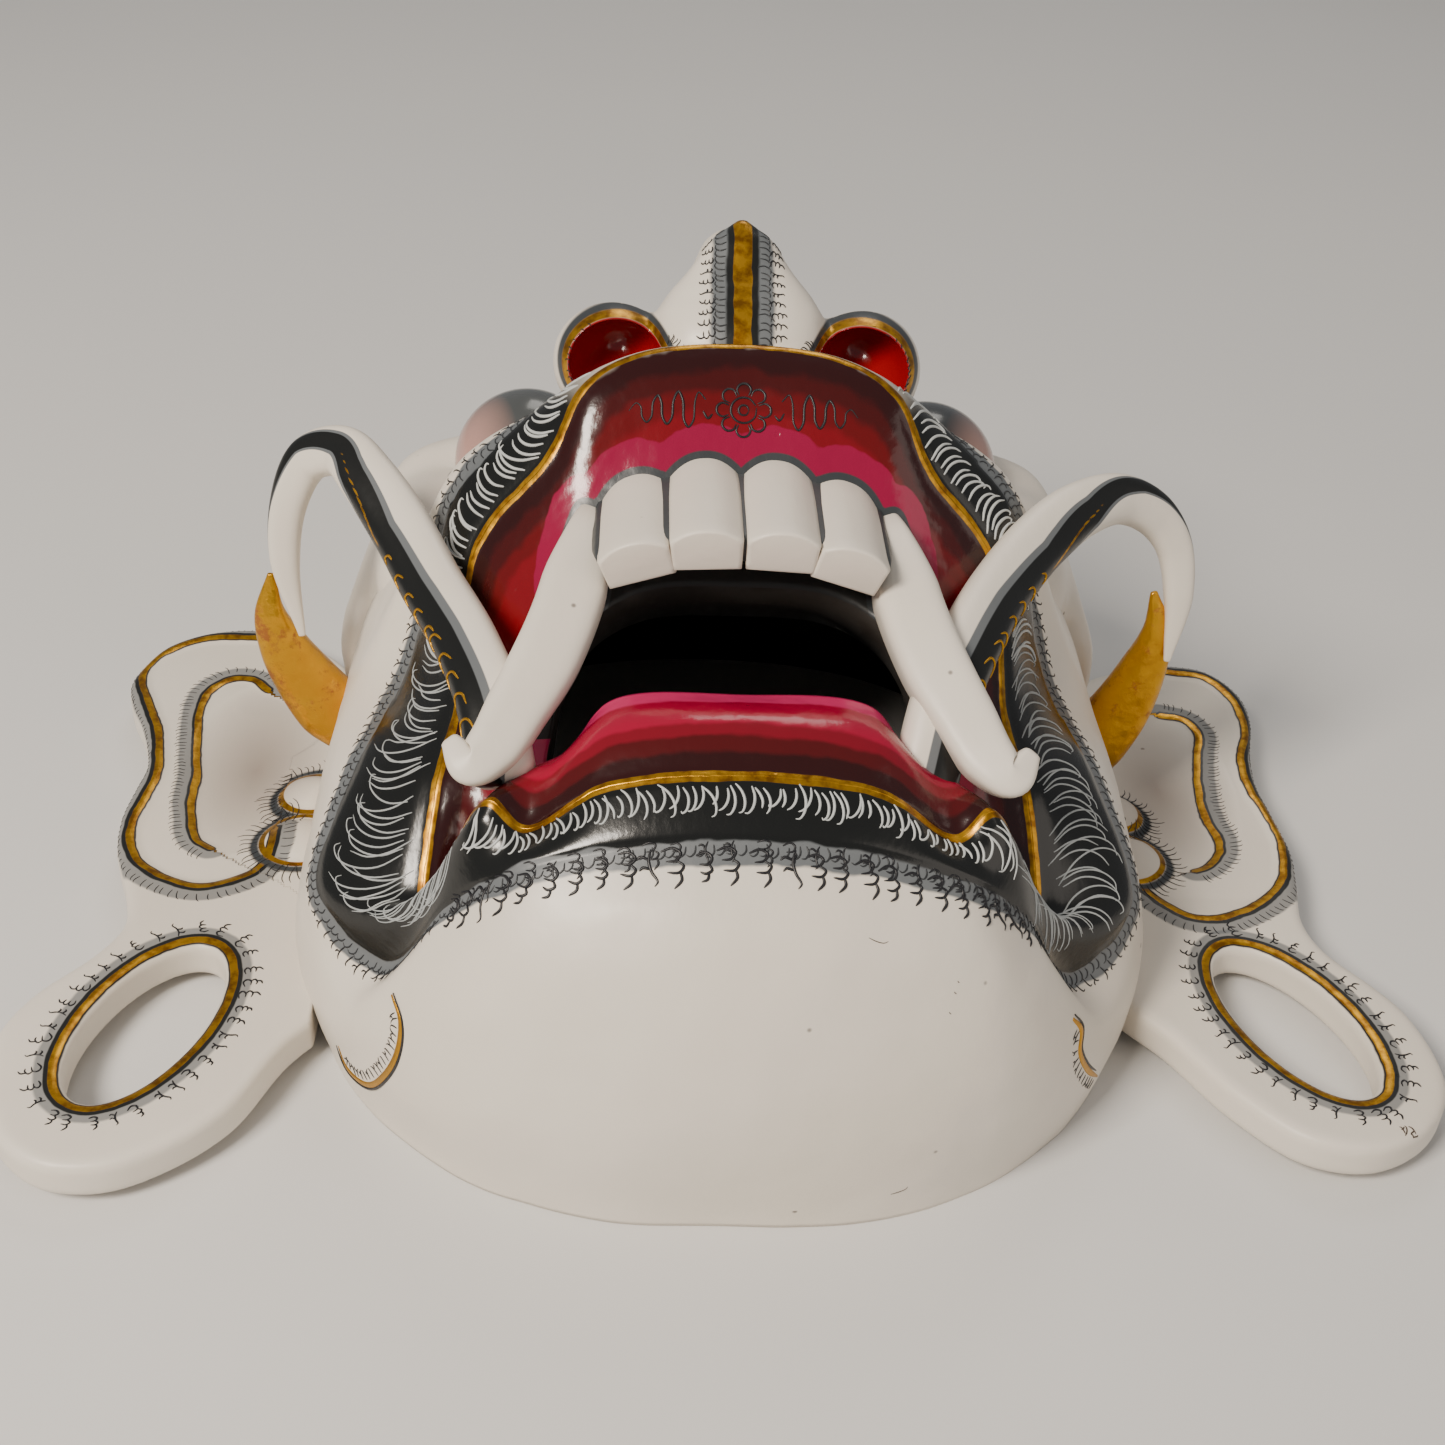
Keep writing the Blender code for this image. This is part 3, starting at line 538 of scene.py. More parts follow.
def face_paint():
    """Bone white with a gold border, black and grey hair bands round the mouth, lacquered red lips, and
    black painted shade at the back of the mouth.
    """
    made, tree = material("bone_white_paint_with_lacquered_lips")
    where, finish, height = bone_ground(tree)
    wander = add(tree, "ShaderNodeMath", add(tree, "ShaderNodeTexNoise", where, None, 130.0, 2.0, 0.55),
                 0.5, operation="SUBTRACT")
    band = add(tree, "ShaderNodeAttribute", attribute_name="band", out=1)
    from_gold, from_edge = (add(tree, "ShaderNodeSeparateXYZ", band, out=axis) for axis in (1, 2))
    from_gold = add(tree, "ShaderNodeMath", wander, 1.2, from_gold, operation="MULTIPLY_ADD")
    waves = add(tree, "ShaderNodeMath", add(tree, "ShaderNodeTexNoise", where, None, 55.0, 1.0, 0.55), 0.5,
                operation="SUBTRACT")
    from_edge = add(tree, "ShaderNodeMath", wander, 2.0, from_edge, operation="MULTIPLY_ADD")
    from_edge = add(tree, "ShaderNodeMath", waves, 5.0, from_edge, operation="MULTIPLY_ADD")
    lip = add(tree, "ShaderNodeAttribute", attribute_name="lip", out=1)
    inward, lower, teeth = (add(tree, "ShaderNodeSeparateXYZ", lip, out=axis) for axis in range(3))
    inward = add(tree, "ShaderNodeMath", wander, 0.09, inward, operation="MULTIPLY_ADD")
    shown = add(tree, "ShaderNodeAttribute", attribute_name="banded", out=2)

    fringe = add(tree, "ShaderNodeMath", between(tree, from_edge, -1.0, 5.4, 0.5), shown,
                 operation="MULTIPLY")
    finish = coat_over(tree, finish, fringe, srgb(SLATE_GREY), 0.45)
    hair = add(tree, "ShaderNodeMath", between(tree, from_edge, -200.0, 0.0, 0.35), shown,
               operation="MULTIPLY")
    finish = coat_over(tree, finish, hair, srgb(SOOT_BLACK), 0.2)

    on_lip = below(tree, from_gold, 0.0)
    on_upper_lip = add(tree, "ShaderNodeMath", on_lip, below(tree, lower, 0.5, 0.02), operation="MULTIPLY")
    on_lower_lip = add(tree, "ShaderNodeMath", on_lip, on_upper_lip, operation="SUBTRACT")
    for lip_half, tones in ((on_upper_lip, UPPER_LIP_TONES), (on_lower_lip, LOWER_LIP_TONES)):
        for start, tone in tones:
            reached = add(tree, "ShaderNodeMath", 1.0, below(tree, inward, start, 0.025),
                          operation="SUBTRACT")
            coated = add(tree, "ShaderNodeMath", lip_half, reached, operation="MULTIPLY")
            finish = coat_over(tree, finish, coated, srgb(tone), 0.17)
    ripple = add(tree, "ShaderNodeMath", add(tree, "ShaderNodeTexNoise", where, None, 95.0, 2.0, 0.55),
                 on_lip, operation="MULTIPLY")
    height = add(tree, "ShaderNodeMath", ripple, 7.0, height, operation="MULTIPLY_ADD")
    near = add(tree, "ShaderNodeMath", wander, 3.0, teeth, operation="MULTIPLY_ADD")
    beside_teeth = add(tree, "ShaderNodeMath", below(tree, near, 6.8, 0.25), on_upper_lip,
                       operation="MULTIPLY")
    finish = coat_over(tree, finish, beside_teeth, srgb(MAGENTA), 0.17)
    # Painted shade: black on the inner wall of the upper lip, where the back of the mouth lies in shade
    painted_mouth_shade = add(tree, "ShaderNodeMath", 1.0, below(tree, inward, 0.78, 0.03), operation="SUBTRACT")
    painted_mouth_shade = add(tree, "ShaderNodeMath", painted_mouth_shade, on_upper_lip, operation="MULTIPLY")
    finish = coat_over(tree, finish, painted_mouth_shade, srgb(SOOT_BLACK), 0.5)
    around_teeth = add(tree, "ShaderNodeMath", below(tree, teeth, 1.5, 0.2), on_lip, operation="MULTIPLY")
    finish = coat_over(tree, finish, around_teeth, srgb(CHARCOAL), 0.3)
    border = between(tree, from_gold, -1.2, 1.35, 0.12)
    finish = gilded(tree, where, finish, border)

    stripe = add(tree, "ShaderNodeAttribute", attribute_name="nose", out=1)
    from_stripe, from_nostril, from_eye = (
        add(tree, "ShaderNodeSeparateXYZ", stripe, out=axis) for axis in range(3)
    )
    from_stripe = add(tree, "ShaderNodeMath", wander, 1.6, from_stripe, operation="MULTIPLY_ADD")
    finish = coat_over(tree, finish, below(tree, from_stripe, 8.2, 0.7), srgb(SLATE_GREY), 0.45)
    finish = coat_over(tree, finish, below(tree, from_stripe, 4.2, 0.5), srgb(SOOT_BLACK), 0.3)
    finish = gilded(tree, where, finish, below(tree, from_stripe, 2.3, 0.15))
    finish = coat_over(tree, finish, between(tree, from_nostril, 1.6, 3.4, 0.4), srgb(CHARCOAL), 0.4)
    finish = gilded(tree, where, finish, between(tree, from_nostril, 0.35, 1.9, 0.15))
    finish = coat_over(tree, finish, below(tree, from_nostril, 0.35, 0.12), srgb("#8e0a12"), 0.14)
    finish = coat_over(tree, finish, below(tree, from_eye, 2.6, 0.5), srgb(CHARCOAL), 0.35)
    return close(made, tree, finish, height, coat=0.12, coat_roughness=0.2)


def plain(name, colour, roughness, scale, strength, metallic=0.0, coat=0.0, second=None):
    """One paint over carved wood, with the drift in tone and the tool marks that it really has."""
    made, tree = material(name)
    where = add(tree, "ShaderNodeTexCoord", out=3)
    drift = add(tree, "ShaderNodeTexNoise", where, None, scale, 4.0, 0.55)
    tone = add(tree, "ShaderNodeMix", sockets={0: drift, 6: srgb(colour), 7: srgb(second or colour)},
               data_type="RGBA", out=2)
    handled = add(tree, "ShaderNodeTexNoise", where, None, scale * 4, 3.0, 0.55)
    dullest = min(roughness * 1.25, 1.0)
    worn = add(tree, "ShaderNodeMapRange", handled, 0.3, 0.7, roughness * 0.8, dullest)
    return close(made, tree, (tone, worn, metallic),
                 add(tree, "ShaderNodeTexNoise", where, None, scale * 6, 3.0, 0.55), strength, coat=coat)


def bone_paint():
    """The same bone white, duller, on teeth and fangs."""
    made, tree = material("bone_white_paint_on_teeth")
    _, finish, height = bone_ground(tree)
    return close(made, tree, finish, height, coat=0.05, coat_roughness=0.3)


def tusk_paint():
    """White tusk with a black hair stripe that winds over it between two grey lines."""
    made, tree = material("bone_white_and_soot_black_tusk_paint")
    where, finish, height = bone_ground(tree)
    stripe = add(tree, "ShaderNodeAttribute", attribute_name="stripe", out=1)
    share, off, line = (add(tree, "ShaderNodeSeparateXYZ", stripe, out=axis) for axis in range(3))
    finish = coat_over(tree, finish, between(tree, off, -1.35, 1.35, 0.03), srgb(SLATE_GREY), 0.4)
    finish = coat_over(tree, finish, between(tree, off, -1.0, 1.0, 0.03), srgb(SOOT_BLACK), 0.3)
    bend = between(tree, share, 0.44, 0.60, 0.01)
    finish = gilded(tree, where, finish,
                    add(tree, "ShaderNodeMath", below(tree, line, 0.9, 0.2), bend, operation="MULTIPLY"))
    return close(made, tree, finish, height, coat=0.05, coat_roughness=0.3)


def gold_leaf():
    """Loose gold leaf over red bole: wrinkled, torn in places so that the red clay shows."""
    made, tree = material("gold_leaf_over_red_bole")
    where = add(tree, "ShaderNodeTexCoord", out=3)
    tears = add(tree, "ShaderNodeTexNoise", where, None, 150.0, 6.0, 0.7)
    bare = add(tree, "ShaderNodeMapRange", tears, 0.56, 0.66, 0.0, 0.85)
    tone = add(tree, "ShaderNodeMix",
               sockets={0: add(tree, "ShaderNodeTexNoise", where, None, 60.0, 3.0, 0.55),
                        6: srgb("#b9801a"), 7: srgb("#e0aa2a")},
               data_type="RGBA", out=2)
    finish = coat_over(tree, (tone, 0.3, 0.9), bare, srgb(BOLE_RED), 0.55, 0.2)
    wrinkles = add(tree, "ShaderNodeTexVoronoi", sockets={"Vector": where, "Scale": 260.0},
                   feature="SMOOTH_F1", out=0)
    height = add(tree, "ShaderNodeMath", wrinkles, tears, operation="ADD")
    return close(made, tree, finish, height, 0.8, 0.0006)


def ear_paint():
    """Bone white with gold contours edged in black, and grey brushed shadows beside them. The scooped bowl
    is darkened with painted shade.
    """
    made, tree = material("bone_white_paint_with_gilded_ear_lines")
    where, finish, height = bone_ground(tree)
    wander = add(tree, "ShaderNodeMath", add(tree, "ShaderNodeTexNoise", where, None, 140.0, 2.0, 0.55),
                 0.5, operation="SUBTRACT")
    outer = add(tree, "ShaderNodeAttribute", attribute_name="outer", out=1)
    contour, scroll, lobe = (add(tree, "ShaderNodeSeparateXYZ", outer, out=axis) for axis in range(3))
    more = add(tree, "ShaderNodeAttribute", attribute_name="more", out=1)
    top, tragus, hollow = (add(tree, "ShaderNodeSeparateXYZ", more, out=axis) for axis in range(3))
    contour = add(tree, "ShaderNodeMath", wander, 1.2, contour, operation="MULTIPLY_ADD")
    scroll = add(tree, "ShaderNodeMath", wander, 1.2, scroll, operation="MULTIPLY_ADD")
    lobe = add(tree, "ShaderNodeMath", wander, 0.8, lobe, operation="MULTIPLY_ADD")
    colour, roughness, metallic = finish
    # Painted shade: the scooped bowl darkens toward a brown grey, for the shade that lies in it
    deep = add(tree, "ShaderNodeMath", hollow, 0.8, operation="MULTIPLY")
    colour = add(tree, "ShaderNodeMix", sockets={0: deep, 6: colour, 7: srgb("#85756a")}, data_type="RGBA",
                 out=2)
    finish = (colour, roughness, metallic)
    for value, gold_from, gold_to, black_to, grey_to in (
        (contour, -1.1, 1.0, 2.3, 6.5), (scroll, -1.1, 0.9, 1.7, 5.2), (lobe, -1.0, 1.0, 2.2, 4.6),
    ):
        grey = add(tree, "ShaderNodeMath", between(tree, value, gold_to, grey_to, 0.5), top,
                   operation="MULTIPLY")
        finish = coat_over(tree, finish, add(tree, "ShaderNodeMath", grey, 0.8, operation="MULTIPLY"),
                           srgb(SLATE_GREY), 0.5)
        black = add(tree, "ShaderNodeMath", between(tree, value, gold_from - 0.5, black_to, 0.2), top,
                    operation="MULTIPLY")
        finish = coat_over(tree, finish, black, srgb(SOOT_BLACK), 0.4)
        gold = add(tree, "ShaderNodeMath", between(tree, value, gold_from, gold_to, 0.12), top,
                   operation="MULTIPLY")
        finish = gilded(tree, where, finish, gold)
    tragus_shade = add(tree, "ShaderNodeMath", between(tree, tragus, 0.9, 3.6, 0.7), top,
                       operation="MULTIPLY")
    finish = coat_over(tree, finish, tragus_shade, srgb(CHARCOAL), 0.5)
    tragus_gold = add(tree, "ShaderNodeMath", between(tree, tragus, -0.8, 0.9, 0.15), top,
                      operation="MULTIPLY")
    finish = gilded(tree, where, finish, tragus_gold)
    return close(made, tree, finish, height, coat=0.05, coat_roughness=0.3)


def eye_lacquer():
    """Charcoal lacquer over the carved eye, blushed pink toward its outer corner."""
    made, tree = material("charcoal_eye_lacquer")
    where = add(tree, "ShaderNodeTexCoord", out=3)
    corner = add(tree, "ShaderNodeAttribute", attribute_name="corner", out=2)
    blush = add(tree, "ShaderNodeMapRange", corner, 0.45, 0.95, 0.0, 1.0)
    base = add(tree, "ShaderNodeMix",
               sockets={0: add(tree, "ShaderNodeTexNoise", where, None, 40.0, 3.0, 0.55),
                        6: srgb("#3d4040"), 7: srgb("#55585a")},
               data_type="RGBA", out=2)
    tone = add(tree, "ShaderNodeMix", sockets={0: blush, 6: base, 7: srgb("#b08a80")}, data_type="RGBA",
               out=2)
    return close(made, tree, (tone, 0.22, 0.0),
                 add(tree, "ShaderNodeTexNoise", where, None, 200.0, 3.0, 0.55), 0.1, coat=0.4)


# The face
def face_grid():
    """The outer face as rows from mouth edge to back rim, each a whole ring, and where each ring lies."""
    rings = [whole_ring(half_ring(SPOKES[:, ring], COLUMNS_PER_SPOKE)) for ring in range(SPOKES.shape[1])]
    rows = open_curve(np.array(rings), ROWS_PER_RING)
    at_ring = np.concatenate([[0], np.cumsum(ROWS_PER_RING)])
    return rows, at_ring


def hollow_rings():
    """Rings of the hollow from the back rim to the back of the mouth, each a whole ring."""
    def inward(places, distance, rise):
        """Places moved toward the middle of the face, and down."""
        toward = -places * (1, 1, 0)
        toward /= np.linalg.norm(toward, axis=1, keepdims=True)
        return places + (toward - (0, 0, rise)) * distance

    def evened(ring):
        """A ring with its kinks taken out."""
        for _ in range(2):
            steered = np.concatenate([ring[1:2] * (-1, 1, 1), ring, ring[-2:-1] * (-1, 1, 1)])
            ring = (steered[:-2] + steered[1:-1] * 2 + steered[2:]) / 4
        return ring

    rim = evened(inward(SPOKES[:, 6], 10.0, 0.0))
    side = evened(inward(SPOKES[:, 5], 11.0, 0.2))
    cheek = evened(inward(SPOKES[:, 4], 11.0, 0.75))
    behind_lip = evened(SPOKES[:, 1] - (0, 0, 22.0))
    mouth_back = SPOKES[:, 0] + (0, 4.0, -11.0)
    rings = (rim, side, cheek, behind_lip, mouth_back)
    return [whole_ring(half_ring(ring, COLUMNS_PER_SPOKE)) for ring in rings]


def relief(rows, at_ring, from_gold, from_edge, shown):
    """Raises the gold border as a bead and the hair band as a soft roll, a fraction of a millimetre each."""
    bead = np.exp(-(from_gold / 1.1) ** 2) * 0.55
    width = rows_between(rows, at_ring[GOLD_BORDER], at_ring[BAND_EDGE])
    inside = np.clip(from_gold / width, 0, 1)
    roll = np.sqrt(np.clip(1 - inside ** 6, 0, 1)) * np.clip(inside * 6, 0, 1) * 0.9 * shown
    roll[from_edge > 0] = 0
    roll[from_gold < 0] = 0
    return bead + roll


def rows_between(rows, first, last):
    """How far it is from one row of a grid to another, in every column."""
    run = lengths(rows)
    return run[last] - run[first]


def grid_normals(rows):
    """Outward normals of a grid whose columns close on themselves."""
    down = np.gradient(rows, axis=0)
    around = np.roll(rows, -1, axis=1) - np.roll(rows, 1, axis=1)
    normals = np.cross(down, around)
    normals /= np.linalg.norm(normals, axis=2, keepdims=True) + 1e-9
    if (normals[len(rows) // 2, 0] @ FACE_FRONT) < 0:
        normals = -normals
    return normals


face_rows, at_ring = face_grid()
run = lengths(face_rows)
gold_run = lengths(whole_ring(half_ring(SPOKES[:, GOLD_BORDER], COLUMNS_PER_SPOKE)))
gold_run = np.minimum(gold_run, gold_run[-1] + (gold_run[1] - gold_run[0]) - gold_run)
from_gold = run - run[at_ring[GOLD_BORDER]]
# The hair band starts beside the nostrils and is full width at the tusks
band_shown = np.clip((gold_run - 33) / 16, 0, 1)
# Beside the eyes the band stops short of the cheek, so that a white ridge stands outside it
spoke_numbers = np.arange(len(SPOKES) * COLUMNS_PER_SPOKE) / COLUMNS_PER_SPOKE
ridge = np.interp(spoke_numbers, (1, 2, 3, 4, 5, 6), (0, 5, 6.5, 5.5, 2.5, 0))
all_columns = np.arange(face_rows.shape[1])
half_columns = np.minimum(all_columns, face_rows.shape[1] - all_columns)
from_edge = run - run[at_ring[BAND_EDGE]] + ridge[half_columns]
lip_width = -from_gold[0]
inward_share = np.clip(-from_gold / lip_width, 0, 1)
lower_lip = face_rows[at_ring[GOLD_BORDER], :, 1] < LIP_CORNER_HEIGHT
lower_lip = np.broadcast_to(lower_lip.astype(float), run.shape)
shown = np.broadcast_to(band_shown, run.shape)
raised = relief(face_rows, at_ring, from_gold, from_edge, shown)
# The chin and cheeks keep the shallow dents of the knife
for index in np.ndindex(*raised.shape):
    place = Vector(face_rows[index])
    dent = 0.55 * noise_at(place / 24) + 0.2 * noise_at(place / 9)
    raised[index] += dent * min(max((from_edge[index] - 6) / 8, 0), 1)
face_rows = face_rows + grid_normals(face_rows) * raised[:, :, None]


def bvh_of(piece):
    """A mesh made ready to find its nearest place, or what a straight line hits."""
    corners = [vertex.co[:] for vertex in piece.data.vertices]
    return BVHTree.FromPolygons(corners, [face.vertices[:] for face in piece.data.polygons])


# Teeth and fangs
# Each row of a tooth: its height, and how far it is drawn in
TOOTH_ROWS = (
    (2, 1.5), (-6, 0.6), (-14, 0.2), (-22, 0), (-32, 0),
    (-40, 0), (-43.8, 0), (-44.5, 0.2), (-44.9, 0.6), (-45, 1.2),
)
# Each tooth of a half: its place across, how far forward it stands, and its roll in degrees
TOOTH_PLACES = ((9.4, 141.0, 3.0), (27.7, 136.8, 18.0))
TEETH_GROUND = [
    (-34, -20.5, 127.6), (-27, -20.5, 130.6), (-18, -20.5, 133.2), (0, -20.5, 134.2),
    (18, -20.5, 133.2), (27, -20.5, 130.6), (34, -20.5, 127.6),
]
TEETH_GROUND_SECTION = (42.6, 7.6)


def tooth(side, x, top, roll):
    """One front tooth: a bar with a rounded front and a flat biting face, rolled to follow the jaw."""
    half, depth = 8.8, 12.0
    front = np.linspace(-1, 1, 21)
    wall = np.linspace(0.15, 1, 6)
    outline = [(u * half, -3.4 * abs(u) ** 2.3) for u in front]
    outline += [(half * (1 - 0.05 * w), -3.4 - (depth - 3.4) * w) for w in wall]
    outline += [(-half * (1 - 0.05 * w), -3.4 - (depth - 3.4) * w) for w in wall[::-1]]
    outline = np.array(outline)
    rows = []
    for y, inset in TOOTH_ROWS:
        section = outline * (1 - inset / half) - (0, inset * 0.6)
        across, up = section.T
        angle = math.radians(roll)
        set_back = -0.17 * up * min(max((-30 - y) / 12, 0), 1)
        rows.append(np.stack([side * (x + across * math.cos(angle) + up * math.sin(angle)),
                              y + set_back,
                              top - across * math.sin(angle) + up * math.cos(angle)], axis=1))
    count, around = len(rows), len(outline)
    faces = quads(count, around, closed_columns=True)
    faces.append(tuple(range(around)))
    faces.append(tuple((count - 1) * around + k for k in range(around)))
    return mesh_object("tooth", placed(np.concatenate(rows)), faces)


def teeth():
    """Four front teeth side by side, set in an arch."""
    made = [tooth(side, *facts) for side in (-1, 1) for facts in TOOTH_PLACES]
    return merge(made, "front_teeth")


def teeth_backing():
    """The dark painted ground that shows in the joints between the teeth."""
    widths, depths = ([size] * len(TEETH_GROUND) for size in TEETH_GROUND_SECTION)
    return sweep("teeth_ground", TEETH_GROUND, widths, depths, FACE_FRONT, 0.25, 24, 8, 2)[0]


front_teeth = teeth()
teeth_ground = teeth_backing()
fangs = {}
for side, name in ((-1, "left_fang"), (1, "right_fang")):
    fangs[side] = sweep(name, sided(FANG, side), FANG_WIDTHS, FANG_DEPTHS, TOWARD_CHIN, 0.5, 36, 14)[0]


# Tusks and their gilded roots
tusks = {}
tusk_facts = {}
crescents = {}
for side, name in ((-1, "left_tusk"), (1, "right_tusk")):
    widths, depths = (TUSK_TAPER * size for size in TUSK_SECTION)
    tusk, facts = sweep(name, sided(TUSKS[side], side), widths, depths, TOWARD_CHIN, 0.7, 64, 22)
    share, across, up = facts.T
    across = across * -side
    turn = np.degrees(np.arctan2(across, up))
    # The black stripe winds over the tusk: the turn of its middle and its reach to either side
    middle = np.interp(share, (0, 0.45, 0.58, 0.70, 0.85, 1.0), (-50, -48, -16, 38, 74, 80))
    reach = np.interp(share, (0, 0.30, 0.45, 0.58, 0.70, 0.85, 0.95), (44, 42, 34, 24, 15, 8, 0.5))
    off = (turn - middle) / reach
    gold_line = np.abs(turn - (middle - 6)) / reach * 12
    tusk_facts[side] = np.stack([share, off, gold_line], axis=1)
    note(tusk, "stripe", tusk_facts[side])
    tusks[side] = tusk
    path = sided(CRESCENTS[side], side)
    widths, depths = (CRESCENT_TAPER * size for size in CRESCENT_SECTION)
    root = name.replace("tusk", "tusk_root")
    crescents[side] = sweep(root, path, widths, depths, TOWARD_CHIN, 0.8, 32, 14)[0]


# The carved face, as one skin of rows
def face_piece():
    """The carved face and its hollow as one closed skin, with what its paint reads."""
    hollow = open_curve(np.array(hollow_rings()), HOLLOW_ROWS)
    rows = np.concatenate([face_rows, hollow])
    count, columns = rows.shape[:2]
    faces = quads(count, columns, closed_rows=True, closed_columns=True)
    face = mesh_object("carved_face", placed(rows.reshape(-1, 3)), faces)
    outer = len(face_rows)
    far_off = np.full((count - outer, columns), 1e3)

    def with_hollow(values, filler):
        """Values of the outer face, with one value all over the hollow."""
        return np.concatenate([values, filler]).ravel()

    note(face, "band",
         np.stack([with_hollow(values, far_off) for values in (run, from_gold, from_edge)], axis=1))
    note(face, "banded", with_hollow(shown, far_off * 0))
    trees = bvh_of(front_teeth), bvh_of(fangs[-1]), bvh_of(fangs[1])
    places = points_of(face)
    near_teeth = [min(tree.find_nearest(Vector(place))[3] for tree in trees) for place in places]
    lip_facts = [with_hollow(values, far_off * 0) for values in (inward_share, lower_lip)]
    note(face, "lip", np.stack([*lip_facts, np.array(near_teeth) * 1000], axis=1))
    note(face, "nose", np.full((len(places), 3), 1e3))
    corners = np.array(faces)
    lowest, highest = corners.min(axis=1), corners.max(axis=1)
    closing = (lowest < columns) & (highest >= (count - 1) * columns)
    inside = (lowest >= outer * columns) | closing
    face.data.polygons.foreach_set("material_index", inside.astype(np.int32))
    return face


carved_face = face_piece()


# Nose, eyes, brows and temples
def upper_face():
    """Nose, brows, temples and forehead as one carved skin, with what its paint reads."""
    forms = [
        sweep("septum", SEPTUM, SEPTUM_WIDTHS, SEPTUM_HEIGHTS, NOSE_UNDERSIDE, 0.85)[0],
        sweep("bridge", BRIDGE, BRIDGE_WIDTHS, BRIDGE_WIDTHS, FACE_FRONT, 0.85)[0],
        ball("core", (0, 56, 132), (26, 34, 24)),
        ball("forehead", (0, 78, 66), (84, 46, 46)),
    ]
    for side in (-1, 1):
        forms.append(ball("wing", (side * 33, 34, 147), (16, 16, 16)))
        forms.append(ball("wing_back", (side * 27, 52, 132), (18, 24, 18)))
        forms.append(ball("flank", (side * 18, 52, 132), (16, 24, 17)))
        forms.append(ball("socket", EYE * (side, 1, 1), (20.0, 20.0, 20.0)))
        forms.append(ball("temple", (side * 84, 52, 74), (18, 30, 26)))
        for name, path, widths in (("brow", BROW, BROW_WIDTHS),
                                   ("temple_edge", TEMPLE_EDGE, TEMPLE_EDGE_WIDTHS)):
            forms.append(sweep(name, sided(path, side), widths, widths, FACE_FRONT, 0.9)[0])
    skin = one_skin(merge(forms, "carved_nose_and_brows"), 1.25, 12)
    # Away from the painted underside, the forms run into each other far more softly
    places = carved(points_of(skin))
    above_tip = np.clip((places[:, 1] - 36) / 10, 0, 1)
    behind = above_tip * np.clip((186 - places[:, 2] - places[:, 1] * 0.25) / 12, 0, 1)
    group = skin.vertex_groups.new(name="behind")
    for index, weight in enumerate(behind):
        group.add([index], float(weight), "REPLACE")
    melt = skin.modifiers.new("run together", "SMOOTH")
    melt.factor = 0.5
    melt.iterations = 140
    melt.vertex_group = "behind"
    applied(skin)
    for side in (-1, 1):
        cut_away(skin, ball("nostril", NOSTRIL * (side, 1, 1), NOSTRIL_RADII, 72, 48))
    # What lies buried in the face, or would show in its hollow, is pared away
    tree = KDTree(face_rows.shape[0] * face_rows.shape[1])
    flat = face_rows.reshape(-1, 3)
    for index, place in enumerate(flat):
        tree.insert(Vector(place), index)
    tree.balance()
    normals = grid_normals(face_rows).reshape(-1, 3)
    places = carved(points_of(skin))
    found = [tree.find(Vector(place)) for place in places]
    nearest = np.array([item[1] for item in found])
    gap = np.array([item[2] for item in found])
    depth = ((places - flat[nearest]) * normals[nearest]).sum(axis=1)
    buried = depth < -NOSE_ROOT
    places[buried] -= normals[nearest][buried] * (depth[buried] + NOSE_ROOT)[:, None]
    move_points(skin, placed(places))
    away = np.clip(depth, 0, None)
    edge = from_edge.ravel()[nearest]
    gold = from_gold.ravel()[nearest]
    note(skin, "band", np.stack([gap, gold + np.sign(gold) * away, edge + away * 1.5], axis=1))
    note(skin, "banded", shown.ravel()[nearest])
    note(skin, "lip", np.stack([gap * 0, gap * 0, gap * 0 + 100], axis=1))
    # The gilt stripe runs down the underside of the nose from its tip to the lip
    surface = bvh_of(skin)
    stripe = []
    for place in open_curve([(0, 47, 184), (0, 41, 174), (0, 34, 166), (0, 26, 158), (0, 16, 152)], 8):
        start = Vector(placed(np.array([place]) + NOSE_UNDERSIDE * 40)[0])
        hit = surface.ray_cast(start, Vector(-NOSE_UNDERSIDE))[0]
        if hit:
            stripe.append(carved([hit])[0])
    off_stripe = nearest_on_line(places, np.array(stripe))[0]
    mirrored = places * np.where(places[:, :1] < 0, (-1, 1, 1), (1, 1, 1))
    nostril = (np.linalg.norm((mirrored - NOSTRIL) / NOSTRIL_RADII, axis=1) - 1) * NOSTRIL_RADII[2]
    # The backs of the wings turn away from the nostrils and stay white
    outside_skin = normals_of(skin) @ np.array([0.0, 1.0, 0.0]) > 0.35
    nostril += np.where(outside_skin & (places[:, 1] > 30), 40.0, 0.0)
    eye = np.linalg.norm(mirrored - EYE, axis=1) - EYE_RADIUS
    note(skin, "nose", np.stack([off_stripe, nostril, eye], axis=1))
    return skin


def eyeball(side, name):
    """An eyeball, with how far each point lies toward its outer corner."""
    piece = ball(name, EYE * (side, 1, 1), (EYE_RADIUS,) * 3, 64, 40)
    places = carved(points_of(piece)) - EYE * (side, 1, 1)
    outward = places @ (np.array([side * 0.9, -0.35, 0.2]) / EYE_RADIUS)
    note(piece, "corner", outward)
    return piece


carved_nose = upper_face()
eyes = [eyeball(-1, "left_eyeball"), eyeball(1, "right_eyeball")]


# Ears
def ellipse(centre, size, lean, side, count=96):
    """A leaning ellipse on an ear."""
    turn = np.linspace(0, math.tau, count, endpoint=False)
    along, across = np.cos(turn) * size[0] / 2, np.sin(turn) * size[1] / 2
    x = along * math.sin(lean) + across * math.cos(lean)
    y = -along * math.cos(lean) + across * math.sin(lean)
    return np.stack([side * (centre[0] + x), centre[1] + y], axis=1)


def lobe_ellipse(side, size):
    """The hole of an ear's lobe, or the gold ring round it."""
    x, y, lean = LOBES[side]
    return ellipse((x, y), size, math.radians(lean), side)


def ear_line(lines, side):
    """A contour or a scroll drawn on an ear."""
    return open_curve(np.array(lines[side], float) * (side, 1), 6)


